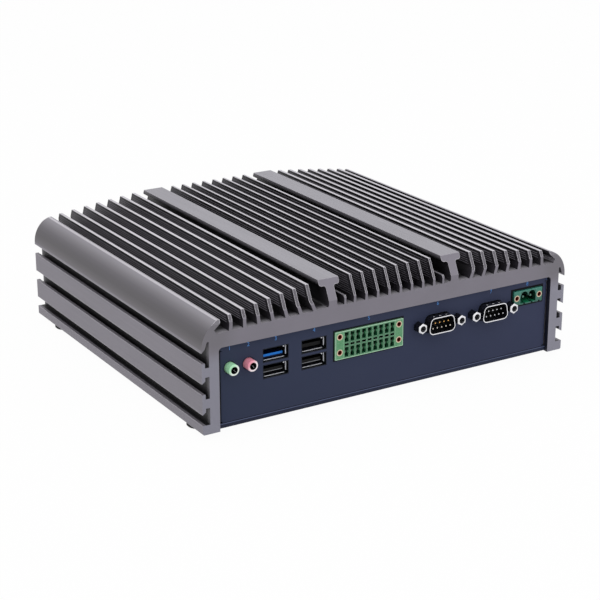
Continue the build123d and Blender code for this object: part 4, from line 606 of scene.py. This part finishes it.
def ridge_surface():
    """Ridges of the fins, a little darker on the middle fins."""
    outer_grey = srgb(86, 82, 91)
    s = Surface("fin_ridges", outer_grey, 0.3, 0.45)
    middle = s.below(s.math("ABSOLUTE", s.place()[0]), RAIL_X)
    s.set("Base Color", s.mix(middle, outer_grey, srgb(66, 62, 71)))
    s.set("Roughness", s.ramp(s.noise(800, (1, 0.05, 1)), 0.4, 0.6))
    return s.mat


def around(s, x, z, centre, half, margin):
    """1 within a margin round a rectangle on the panel."""
    across = s.below(s.apart(x, centre[0]), half[0] + margin)
    along = s.below(s.apart(z, centre[1]), half[1] + margin)
    return s.both(across, along)


def shadow_gaps(s, x, z):
    """Painted shadow: dark outlines round the connectors, where they stand in the panel's windows."""
    ports = [(port_x, PORT_LOW_Z + row * PORT_PITCH) for port_x in PORT_X for row in (0, 1)]
    shapes = [(centre, (PORT_HALF_W, PORT_HALF_H)) for centre in ports]
    shapes += [((SIGNAL_X, SIGNAL_Z), SIGNAL_HALF), ((POWER_X, POWER_Z), POWER_HALF)]
    gaps = [around(s, x, z, centre, half, SHADOW_GAP) for centre, half in shapes]
    gaps += [s.below(s.reach(x, z, axis_x, AUDIO_Z), AUDIO_RIM + AUDIO_GAP) for axis_x in AUDIO_X]
    return s.either(*gaps)


def sheet_surface():
    """Navy paint with a fine grain, painted shade inside the windows, along the side rims, round the
    connectors and at the lower bends, and painted highlights that make it paler along its bends and
    edges.
    """
    s = Surface("painted_sheet", srgb(50, 57, 78), 0.0, 0.55, Specular_IOR_Level=0.12)
    grain = s.noise(PAINT_GRAIN)
    cloud = s.noise(25, detail=3.0)
    x, y, z = s.place()
    ny = s.facing()[1]
    paint_and_shade_tone = s.mix(s.ramp(x, 0, 1, -SIDE_X, SIDE_X), srgb(49, 56, 77), srgb(58, 63, 88))
    paint_and_shade_tone = s.mix(s.ramp(cloud, 0.0, 0.35, 0.35, 0.65), paint_and_shade_tone, srgb(46, 53, 78))
    # Painted shade on the inner walls of the windows
    window = s.both(
        s.above(y, PANEL_Y + SKIN), s.below(y, WINDOW_BACK),
        s.below(s.math("ABSOLUTE", ny), MOSTLY), s.above(z, WINDOW_LOW),
        s.below(s.math("ABSOLUTE", x), WINDOW_HALF), s.below(z, WINDOW_HIGH),
    )
    paint_and_shade_tone = s.mix(window, paint_and_shade_tone, srgb(14, 14, 20))
    # Painted shade along the side rims, and a paler painted reflection in a line near the right edge
    left_rim = s.below(x, LEFT_RIM - PANEL_HALF)
    right_rim = s.above(x, PANEL_HALF - RIGHT_RIM)
    front = s.below(y, PANEL_Y + SHEET_DEPTH)
    rim = s.both(s.either(left_rim, right_rim), front)
    right_line = s.both(s.above(x, PANEL_HALF - RIGHT_LINE), s.invert(right_rim), front)
    paint_and_shade_tone = s.mix(right_line, paint_and_shade_tone, srgb(66, 76, 108))
    paint_and_shade_tone = s.mix(rim, paint_and_shade_tone, srgb(18, 19, 28))
    # Painted shadow round the connectors
    paint_and_shade_tone = s.mix(s.both(shadow_gaps(s, x, z), front), paint_and_shade_tone, srgb(7, 8, 12))
    # Painted shade at the lower bends of the front and rear
    ends = s.either(front, s.above(y, REAR_Y - SHEET_DEPTH))
    low_bend = s.both(s.below(z, BEND_LOW + BEND_R), ends)
    paint_and_shade_tone = s.mix(low_bend, paint_and_shade_tone, srgb(20, 23, 34))
    # Painted highlight along the edges
    shine = s.both(s.edges(PAINT_EDGE), s.invert(window), s.invert(rim), s.invert(low_bend), 0.4)
    s.set("Base Color", s.mix(shine, paint_and_shade_tone, srgb(110, 120, 145)))
    s.bump(grain, PAINT_DEPTH, 0.5)
    return s.mat


def hem_surface():
    """The panel's folded lower hem: the same paint, with light along its upper edge."""
    s = Surface("panel_hem", srgb(40, 46, 66), 0.0, 0.5, Specular_IOR_Level=0.12)
    x, y, z = s.place()
    line = s.both(s.above(z, HEM_TOP - HEM_LINE), s.below(y, PANEL_Y + SKIN))
    tone = s.mix(s.ramp(x, 0, 1, -SIDE_X, SIDE_X), srgb(36, 40, 58), srgb(44, 50, 72))
    s.set("Base Color", s.mix(line, tone, srgb(84, 92, 122)))
    s.bump(s.noise(PAINT_GRAIN), PAINT_DEPTH, 0.4)
    return s.mat


def board_surface():
    """Green solder mask with faint copper runs, and dark cut edges."""
    s = Surface("circuit_board", srgb(30, 95, 60), 0.0, 0.4)
    nz = s.facing()[2]
    runs = s.noise(1.0, (420, 60, 1), 1.0)
    tone = s.mix(s.ramp(runs, 0.0, 1.0, 0.48, 0.52), srgb(24, 84, 54), srgb(40, 112, 70))
    s.set("Base Color", s.mix(s.above(s.math("ABSOLUTE", nz), MOSTLY), srgb(14, 20, 16), tone))
    return s.mat


def port_shell_surface():
    """Folded shell, painted dark as shade, inside and along its mouth."""
    s = Surface("port_shell", srgb(32, 33, 39), 0.2, 0.35, Specular_IOR_Level=0.25)
    grain = s.noise(900)
    s.set("Base Color", s.mix(grain, srgb(22, 23, 28), srgb(38, 39, 46)))
    s.set("Roughness", s.ramp(grain, 0.3, 0.4))
    return s.mat


def plain_surface(name, color, metallic, roughness):
    """One colour with a fine grain in its gloss and relief."""
    s = Surface(name, color, metallic, roughness)
    grain = s.noise(PLAIN_GRAIN)
    s.set("Roughness", s.ramp(grain, roughness * 0.85, roughness * 1.15))
    s.bump(grain, PLAIN_DEPTH, 0.4)
    return s.mat


def audio_surface(name, axis_x, barrel, ring):
    """Coloured barrel with a pale front ring, a painted highlight that is lighter towards the lower
    right, and a bore painted dark as shade.
    """
    s = Surface(name, barrel, 0.0, 0.38)
    x, y, z = s.place()
    ny = s.facing()[1]
    # Painted shade in the bore
    bore = s.below(s.reach(x, z, axis_x, AUDIO_Z), AUDIO_BORE + BORE_SKIN)
    face = s.both(s.below(ny, -LOOSELY), s.below(y, AUDIO_FRONT + AUDIO_FACE))
    grain = s.noise(1500)
    # Painted highlight on the front ring, lighter towards the lower right
    from_upper_left = s.math("SUBTRACT", s.math("SUBTRACT", x, axis_x), s.math("SUBTRACT", z, AUDIO_Z))
    lit_ring = s.mix(s.ramp(from_upper_left, 0.0, 1.0, *AUDIO_SHADE), barrel, ring)
    tone = s.mix(face, barrel, lit_ring)
    s.set("Base Color", s.mix(bore, tone, srgb(9, 9, 10)))
    s.set("Roughness", s.ramp(grain, 0.32, 0.44))
    s.bump(grain, MOULD_DEPTH, 0.3)
    return s.mat


def port_core_surface(name, upper, upper_lip):
    """Black moulding whose upper tongue takes its own colour on its front face and is painted darker
    as shade behind it, with painted highlights along the lower front edges.
    """
    s = Surface(name, srgb(14, 14, 16), 0.0, 0.4, Specular_IOR_Level=0.15)
    _, y, z = s.place()
    ny = s.facing()[1]
    high = s.above(z, PORT_SPLIT)
    tongue = s.below(y, PORT_FRONT + TONGUE_DEPTH)
    facing_out = s.both(s.below(ny, -MOSTLY), tongue)
    row_z = s.math("MULTIPLY", high, PORT_PITCH)
    rise = s.math("SUBTRACT", s.math("SUBTRACT", z, PORT_LOW_Z), row_z)
    # Painted highlight along the lower front edge of each tongue
    lip = s.both(facing_out, s.below(rise, -LIP_LINE))
    grain = s.noise(1400)
    low_tone = s.mix(lip, s.mix(grain, srgb(7, 7, 9), srgb(12, 12, 14)), srgb(144, 146, 152))
    # The upper tongue shows its colour on its front face and is painted darker behind it as shade
    bright_face = s.both(facing_out, s.above(rise, -BRIGHT_DROP))
    high_tone = s.mix(bright_face, upper, upper_lip)
    s.set("Base Color", s.mix(s.both(high, tongue), low_tone, high_tone))
    s.bump(grain, MOULD_DEPTH, 0.3)
    return s.mat


def header_surface(name, tones, front_y, centre, half_cells, half_body, slot_half=0.0, fall=0.0):
    """Header moulding: bright face with painted highlights on its border and edges, and cells in
    painted shade that darkens with their depth.
    """
    face, rim, ribs, deep, cell_floor = tones
    s = Surface(name, face, 0.0, 0.4)
    x, y, z = s.place()
    depth = s.math("SUBTRACT", y, front_y)
    cells = around(s, x, z, centre, half_cells, 0.0)
    cell = s.both(cells, s.above(depth, CELL_FADE[0]))
    grain = s.noise(1300)
    nz = s.facing()[2]
    tone = s.mix(cells, face, ribs)
    tone = s.mix(s.ramp(grain, 0.0, 0.15, 0.3, 0.7), tone, rim)
    # Painted highlight along the border and edges of the face
    border = s.invert(around(s, x, z, centre, half_body, -HEADER_BORDER))
    bright = s.both(s.either(border, s.edges(MOULD_EDGE)), s.below(depth, HEADER_FACE), 0.75)
    tone = s.mix(bright, tone, rim)
    # Painted shade, darker towards the bottom
    if fall:
        low = s.ramp(z, fall, 0.0, centre[1] - half_body[1], centre[1] + half_body[1])
        tone = s.mix(low, tone, srgb(12, 40, 34))
    # Painted shade in the cells, darker with depth, with paler floors and darker slots
    cell_tone = s.mix(s.ramp(depth, 0.0, 1.0, *CELL_FADE), deep, srgb(8, 26, 18))
    cell_tone = s.mix(s.above(nz, MOSTLY), cell_tone, cell_floor)
    if slot_half:
        slot = s.below(s.apart(z, centre[1]), slot_half)
        cell_tone = s.mix(slot, cell_tone, srgb(6, 18, 12))
    s.set("Base Color", s.mix(cell, tone, cell_tone))
    s.bump(grain, MOULD_DEPTH, 0.3)
    return s.mat


def insert_surface():
    """Pale turned inserts with dark red bores."""
    s = Surface("brass_insert", srgb(222, 205, 178), 0.5, 0.35)
    x, _, z = s.place()
    centres = [(POWER_X + side * POWER_NUT_X, POWER_Z) for side in (-1, 1)]
    for rise in SIGNAL_NUT_Z:
        centres += [(SIGNAL_X + side * SIGNAL_NUT_X, SIGNAL_Z + rise) for side in (-1, 1)]
    nearest = s.fold("MINIMUM", [s.reach(x, z, *centre) for centre in centres])
    grain = s.noise(1800)
    tone = s.mix(grain, srgb(196, 176, 146), srgb(222, 206, 182))
    bore = s.below(nearest, NUT_BORE + NUT_SKIN)
    s.set("Base Color", s.mix(bore, tone, srgb(150, 44, 34)))
    s.bump(grain, MOULD_DEPTH, 0.3)
    return s.mat


def to_port(s, x):
    """Distance across X from the nearer serial port's axis."""
    return s.fold("MINIMUM", [s.apart(x, port_x) for port_x in SERIAL_X])


def serial_surface():
    """Bright front rim, dimples with painted glints, and a shell whose sides are painted nearly black
    as a dark reflection.
    """
    s = Surface("serial_shell", srgb(232, 232, 236), 0.2, 0.25)
    x, y, z = s.place()
    ny = s.facing()[1]
    rim = s.both(s.below(ny, -MOSTLY), s.below(y, SERIAL_FRONT + SERIAL_RIM))
    across = to_port(s, x)
    to_dimple = s.math("MINIMUM", across, s.apart(across, DIMPLE_PITCH))
    on_top = s.above(z, SERIAL_ROOF)
    dimple = s.both(s.below(s.reach(to_dimple, y, 0.0, DIMPLE_Y), DIMPLE_R), on_top)
    grain = s.noise(1200)
    # Painted dark reflection on the sides, and painted glints on the dimples
    side = s.mix(grain, srgb(14, 14, 18), srgb(30, 30, 38))
    s.set("Base Color", s.mix(s.either(rim, dimple), side, srgb(244, 244, 248)))
    s.set("Roughness", s.ramp(grain, 0.22, 0.34))
    return s.mat


def jackscrew_surface():
    """Hexagonal heads with a bright front face, and sides and a threaded bore painted dark as shade.
    """
    s = Surface("jackscrew", srgb(232, 232, 236), 0.3, 0.28)
    x, y, z = s.place()
    # Painted shade in the threaded bore, striped paler across the threads
    bore = s.below(s.reach(to_port(s, x), z, JACK_STEP, SERIAL_Z), JACK_BORE + JACK_SINK)
    turns = s.math("FRACT", s.math("MULTIPLY", y, 1.0 / THREAD_PITCH))
    thread = s.mix(s.above(turns, 0.55), srgb(14, 14, 17), srgb(140, 142, 150))
    # Sides painted dark as shade behind the bright front face
    ring = s.below(y, JACK_FRONT + JACK_RING)
    side = s.mix(ring, srgb(22, 23, 31), srgb(238, 238, 242))
    s.set("Base Color", s.mix(bore, side, thread))
    s.set("Roughness", s.ramp(s.noise(900), 0.2, 0.35))
    return s.mat


def indicator_surface():
    """Two lenses: the lower one green, the upper one amber."""
    s = Surface("indicator_lens", srgb(90, 190, 110), 0.0, 0.2)
    z = s.place()[2]
    grain = s.noise(700)
    green_tone = s.mix(grain, srgb(70, 176, 96), srgb(110, 214, 130))
    amber_tone = s.mix(grain, srgb(226, 150, 40), srgb(244, 184, 80))
    s.set("Base Color", s.mix(s.above(z, INDICATOR_MID_Z), green_tone, amber_tone))
    return s.mat


def serial_pin_surface():
    """Gold pins in one port and plated ones in the other, with their sides painted dark as shade so
    that only the tips show the metal.
    """
    s = Surface("serial_pins", srgb(200, 200, 200), 0.3, 0.35)
    x, _, z = s.place()
    left = s.below(x, (SERIAL_X[0] + SERIAL_X[1]) / 2)
    gold = s.mix(s.above(z, SERIAL_Z), srgb(226, 216, 202), srgb(238, 180, 96))
    # Painted shade on the pins' sides
    tip = s.below(s.facing()[1], -EXACTLY)
    s.set("Base Color", s.mix(tip, srgb(16, 15, 15), s.mix(left, srgb(214, 214, 220), gold)))
    s.set("Roughness", s.ramp(s.noise(900), 0.3, 0.4))
    return s.mat


def paint(material, *names):
    for name in names:
        node = NODES[name]
        node.data.materials.clear()
        node.data.materials.append(material)


def smooth(name):
    mesh = NODES[name].data
    mesh.shade_smooth()
    mesh.set_sharp_from_angle(angle=SMOOTH_ANGLE)


def add_piece(name, verts, faces, material):
    mesh = bpy.data.meshes.new(name)
    mesh.from_pydata(verts, [], faces)
    mesh.materials.append(material)
    mesh.update()
    obj = bpy.data.objects.new(name, mesh)
    bpy.context.scene.collection.objects.link(obj)
    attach(obj, BODY)


def cut_back(z):
    """How far the slanted end has moved in at height z."""
    return max(0.0, z - SLANT_Z) * math.tan(SLANT_ANGLE)


def fin_sides():
    """(x of the wall, direction it faces, lowest z, highest z) of every upright fin wall."""
    sides = []
    for k in range(MID_PAIRS):
        for sign in (-1, 1):
            centre = sign * (k + 0.5) * MID_PITCH
            for face in (-1, 1):
                sides.append((centre + face * MID_HALF_T, face, SLANT_Z, MID_TOP))
    for k in range(SIDE_COUNT):
        low = SIDE_KINK - k * SIDE_KINK_DROP
        top = SIDE_TOP - k * SIDE_DROP - k * k * SIDE_DROP_GROWTH
        for sign in (-1, 1):
            centre = sign * (SIDE_FIRST + k * SIDE_PITCH)
            for face in (-1, 1):
                sides.append((centre + face * SIDE_HALF_T, face, low, top))
    return sides


def make_ridges(material):
    """Fine ridges that run along the upright fin walls, as the extrusion has them."""
    verts, faces = [], []
    for wall, face, low, top in fin_sides():
        count = int((top - low - RIDGE_TOP_GAP - RIDGE_LOW_GAP) / RIDGE_PITCH) + 1
        for i in range(count):
            z = top - RIDGE_TOP_GAP - i * RIDGE_PITCH
            base = len(verts)
            for end_y, inward in ((FRONT_Y, 1), (BACK_Y, -1)):
                for dz, out in ((-RIDGE_W / 2, 0.0), (0.0, RIDGE_H), (RIDGE_W / 2, 0.0)):
                    y = end_y + inward * (cut_back(z + dz) + RIDGE_END_GAP)
                    verts.append((wall + face * out, y, z + dz))
            sides = ((0, 1, 4, 3), (1, 2, 5, 4), (0, 2, 1), (3, 4, 5))
            faces += [tuple(base + i for i in side) for side in sides]
    add_piece("fin_ridges", verts, faces, material)


def box_mesh(low, high, verts, faces):
    """Adds a box between two corners to the lists of a mesh."""
    base = len(verts)
    for x in (low[0], high[0]):
        for y in (low[1], high[1]):
            for z in (low[2], high[2]):
                verts.append((x, y, z))
    for quad in ((0, 1, 3, 2), (4, 6, 7, 5), (0, 4, 5, 1), (2, 3, 7, 6), (0, 2, 6, 4), (1, 5, 7, 3)):
        faces.append(tuple(base + i for i in quad))


def strip_mesh(path, width, thick, verts, faces):
    """Adds a bent strip that follows (x, y, z) points, with its width across X."""
    base = len(verts)
    for x, y, z in path:
        for dx in (-width / 2, width / 2):
            for dz in (-thick / 2, thick / 2):
                verts.append((x + dx, y, z + dz))
    for i in range(len(path) - 1):
        a = base + 4 * i
        b = a + 4
        faces += [(a, b, b + 1, a + 1), (a + 2, a + 3, b + 3, b + 2)]
        faces += [(a, a + 2, b + 2, b), (a + 1, b + 1, b + 3, a + 3)]
    last = base + 4 * (len(path) - 1)
    faces += [(base, base + 1, base + 3, base + 2), (last, last + 2, last + 3, last + 1)]


def make_port_lips(material):
    """Mouths of the ports: a thin lip below, a flared lip at the right and a spring above it."""
    verts, faces = [], []
    for port_x in PORT_X:
        for row in (0, 1):
            axis_z = PORT_LOW_Z + row * PORT_PITCH
            floor, roof = axis_z - PORT_HALF_H, axis_z + PORT_HALF_H
            left, right = port_x - PORT_HALF_W, port_x + PORT_HALF_W
            low_lip = (left + LIP_INSET, PORT_FRONT - LOW_LIP_OUT, floor - LIP_T)
            box_mesh(low_lip, (right - 2 * LIP_INSET, PORT_FRONT, floor), verts, faces)
            side_lip = (right - LIP_T, PORT_FRONT - SIDE_LIP_OUT, floor + SIDE_LIP_RISE)
            box_mesh(side_lip, (right, PORT_FRONT, roof), verts, faces)
            corner = (right - SPRING_INSET[0], PORT_FRONT, roof - SPRING_INSET[1])
            box_mesh(corner, [c + size for c, size in zip(corner, SPRING_SIZE)], verts, faces)
    add_piece("port_lips", verts, faces, material)


def make_cell_ribs(material):
    """Coding ribs halfway up both sides of every cell of the signal header."""
    verts, faces = [], []
    for k in range(SIGNAL_COUNT):
        cell_x = SIGNAL_X + (k - (SIGNAL_COUNT - 1) / 2) * SIGNAL_PITCH
        for cell_z in (SIGNAL_Z - SIGNAL_ROW, SIGNAL_Z + SIGNAL_ROW):
            for low_x in (cell_x - SIGNAL_CELL_HALF, cell_x + SIGNAL_CELL_HALF - RIB_SIZE[0]):
                corner = (low_x, HEADER_FRONT + RIB_BACK, cell_z - RIB_SIZE[2] / 2)
                box_mesh(corner, [c + size for c, size in zip(corner, RIB_SIZE)], verts, faces)
    add_piece("cell_ribs", verts, faces, material)


def make_network_contacts(material):
    """Spring wires that slope down from the roof of each network jack."""
    verts, faces = [], []
    for jack_x in NETWORK_X:
        for k in range(CONTACT_COUNT):
            x = jack_x + (k - (CONTACT_COUNT - 1) / 2) * CONTACT_PITCH
            path = [(x, NETWORK_BACK - run * MM, NETWORK_ROOF - drop * MM) for run, drop in WIRE_PATH]
            strip_mesh(path, *WIRE_SIZE, verts, faces)
    add_piece("network_contacts", verts, faces, material)


def make_panel_hem(material):
    """Folded hem that closes the corner below the panel's bend, as one strip across the opening."""
    profile = [(PANEL_Y - HEM_PROUD, HEM_TOP)]
    for step in range(HEM_STEPS + 1):
        turn = math.pi / 2 * step / HEM_STEPS
        profile.append((
            PANEL_Y - HEM_PROUD + HEM_R * (1 - math.cos(turn)),
            HEM_LOW + HEM_R * (1 - math.sin(turn)),
        ))
    profile.append((PANEL_Y + BEND_R + HEM_BACK, HEM_LOW))
    profile.append((PANEL_Y + BEND_R + HEM_BACK, BEND_LOW))
    for step in range(HEM_STEPS + 1):
        turn = math.pi / 2 * step / HEM_STEPS
        z = BEND_LOW + BEND_R * (1 - math.cos(turn))
        if z < HEM_TOP:
            profile.append((PANEL_Y + BEND_R * (1 - math.sin(turn)), z))
    profile.append((PANEL_Y + HEM_TUCK, HEM_TOP))
    count = len(profile)
    verts = [(x, y, z) for x in (-PANEL_HALF, PANEL_HALF) for y, z in profile]
    faces = [(i, (i + 1) % count, count + (i + 1) % count, count + i) for i in range(count)]
    faces += [tuple(reversed(range(count))), tuple(range(count, 2 * count))]
    add_piece("panel_hem", verts, faces, material)


def make_port_numbers(material):
    """Plain numbers printed above the connectors."""
    verts, faces = [], []
    for number, x in enumerate(NUMBER_X, start=1):
        curve = bpy.data.curves.new("number", "FONT")
        curve.body = str(number)
        curve.size = NUMBER_SIZE
        curve.align_x = "CENTER"
        curve.resolution_u = 3
        outline = bpy.data.objects.new("number", curve)
        mesh = bpy.data.meshes.new_from_object(outline)
        base = len(verts)
        verts += [(x + v.co.x, PANEL_Y - INK_T, NUMBER_Z + v.co.y) for v in mesh.vertices]
        faces += [tuple(base + i for i in face.vertices) for face in mesh.polygons]
        bpy.data.objects.remove(outline)
        bpy.data.curves.remove(curve)
        bpy.data.meshes.remove(mesh)
    add_piece("port_numbers", verts, faces, material)


def make_jack_contacts(material):
    """Leaf contacts inside the bores of the audio jacks."""
    verts, faces = [], []
    for axis_x in AUDIO_X:
        for side, start in LEAF_STARTS:
            path = [
                (axis_x + side * LEAF_OUT, AUDIO_FRONT + start + run * MM, AUDIO_Z - drop * MM)
                for run, drop in LEAF_PATH
            ]
            strip_mesh(path, *LEAF_SIZE, verts, faces)
    add_piece("jack_contacts", verts, faces, material)


make_camera()
make_world()
make_floor()
make_lamp("key", KEY_PLACE, KEY_SIZE, KEY_POWER)
make_lamp("fill", FILL_PLACE, FILL_SIZE, FILL_POWER)

paint(chassis_surface(), "chassis")
smooth("chassis")
make_ridges(ridge_surface())
paint(sheet_surface(), "front_panel", "base_tray")
steel = plain_surface("plated_steel", srgb(190, 190, 192), 1.0, 0.35)
bright = plain_surface("bright_metal", srgb(225, 225, 228), 1.0, 0.2)
leaf = plain_surface("leaf_metal", srgb(226, 228, 236), 0.3, 0.3)
rib_green = plain_surface("rib_green", srgb(54, 120, 80), 0.0, 0.45)
ink = plain_surface("blue_ink", srgb(64, 130, 204), 0.0, 0.6)
# Signal pins painted dark as shade in their cells
shaded_pins = plain_surface("pins_in_painted_shade", srgb(58, 72, 62), 0.5, 0.5)
tinned = plain_surface("tinned_pins", srgb(88, 132, 116), 0.3, 0.5)
black = plain_surface("black_plastic", srgb(20, 20, 22), 0.0, 0.5)
rubber = plain_surface("rubber", srgb(24, 24, 25), 0.0, 0.8)
aluminium = plain_surface("machined_aluminium", srgb(200, 200, 203), 1.0, 0.3)
brass = plain_surface("brass_standoff", srgb(205, 175, 110), 1.0, 0.35)
board = board_surface()
pad = plain_surface("thermal_pad", srgb(150, 170, 190), 0.0, 0.8)
blued = plain_surface("black_screw", srgb(30, 30, 32), 0.8, 0.4)
# Tones of a header: face, rim (painted highlight), ribs, depth of the cells (painted shade) and floor
# of the cells
green_tones = [
    srgb(70, 138, 90), srgb(190, 228, 198), srgb(46, 110, 72), srgb(44, 112, 76), srgb(34, 98, 64),
]
green = header_surface(
    "green_header", green_tones, HEADER_FRONT, (SIGNAL_X, SIGNAL_Z), SIGNAL_CELLS, SIGNAL_HALF,
    slot_half=SLOT_HALF,
)
teal_tones = [
    srgb(34, 116, 94), srgb(140, 208, 204), srgb(30, 104, 84), srgb(14, 58, 44), srgb(26, 130, 88),
]
teal = header_surface(
    "teal_header", teal_tones, POWER_FRONT, (POWER_X, POWER_Z), POWER_CELL, POWER_HALF,
    fall=0.55,
)
# Barrel colour, and the pale painted highlight of its front ring
audio_green = audio_surface("audio_green", AUDIO_X[0], srgb(174, 234, 188), srgb(242, 250, 242))
audio_pink = audio_surface("audio_pink", AUDIO_X[1], srgb(238, 150, 170), srgb(252, 240, 244))
# Upper tongue colours: painted shade behind, and its front face
fast_core = port_core_surface("fast_port_core", srgb(14, 28, 66), srgb(40, 132, 232))
slow_core = port_core_surface("port_core", srgb(9, 9, 11), srgb(14, 14, 16))

paint(steel, "pillars", "board_screws", "block_screws", "storage_post", "button_nut")
paint(blued, "tray_screws")
paint(
    bright, "network_shield_1", "network_shield_2", "video_shell_1", "video_shell_2",
    "button_bezel", "coin_cell", "capacitors",
)
paint(tinned, "power_pins")
paint(port_shell_surface(), "port_shell_left", "port_shell_right")
paint(shaded_pins, "signal_pins")
paint(jackscrew_surface(), "jackscrews")
paint(serial_surface(), "serial_shell_1", "serial_shell_2")
paint(serial_pin_surface(), "serial_pins")
paint(fast_core, "port_core_left")
paint(slow_core, "port_core_right")
paint(
    black, "serial_body_1", "serial_body_2", "processor", "chokes", "memory_socket",
    "storage_socket", "cell_holder", "network_insert_1", "network_insert_2", "video_core_1",
    "video_core_2", "power_spacers", "button_switch", "indicator_carrier",
)
paint(rubber, "foot_front_left", "foot_front_right", "foot_rear_left", "foot_rear_right")
paint(green, "signal_header", "signal_header_ends")
paint(teal, "power_header", "power_header_ends")
paint(insert_surface(), "flange_nuts")
paint(audio_green, "audio_jack_green")
paint(audio_pink, "audio_jack_pink")
paint(aluminium, "heat_block", "power_button")
paint(brass, "board_standoffs")
paint(board, "mainboard", "power_board", "memory_module", "storage_card")
paint(pad, "thermal_pads")
paint(indicator_surface(), "indicators")
make_port_lips(leaf)
make_jack_contacts(leaf)
make_network_contacts(brass)
make_cell_ribs(rib_green)
make_panel_hem(hem_surface())
make_port_numbers(ink)

bpy.context.scene.view_settings.view_transform = "Standard"
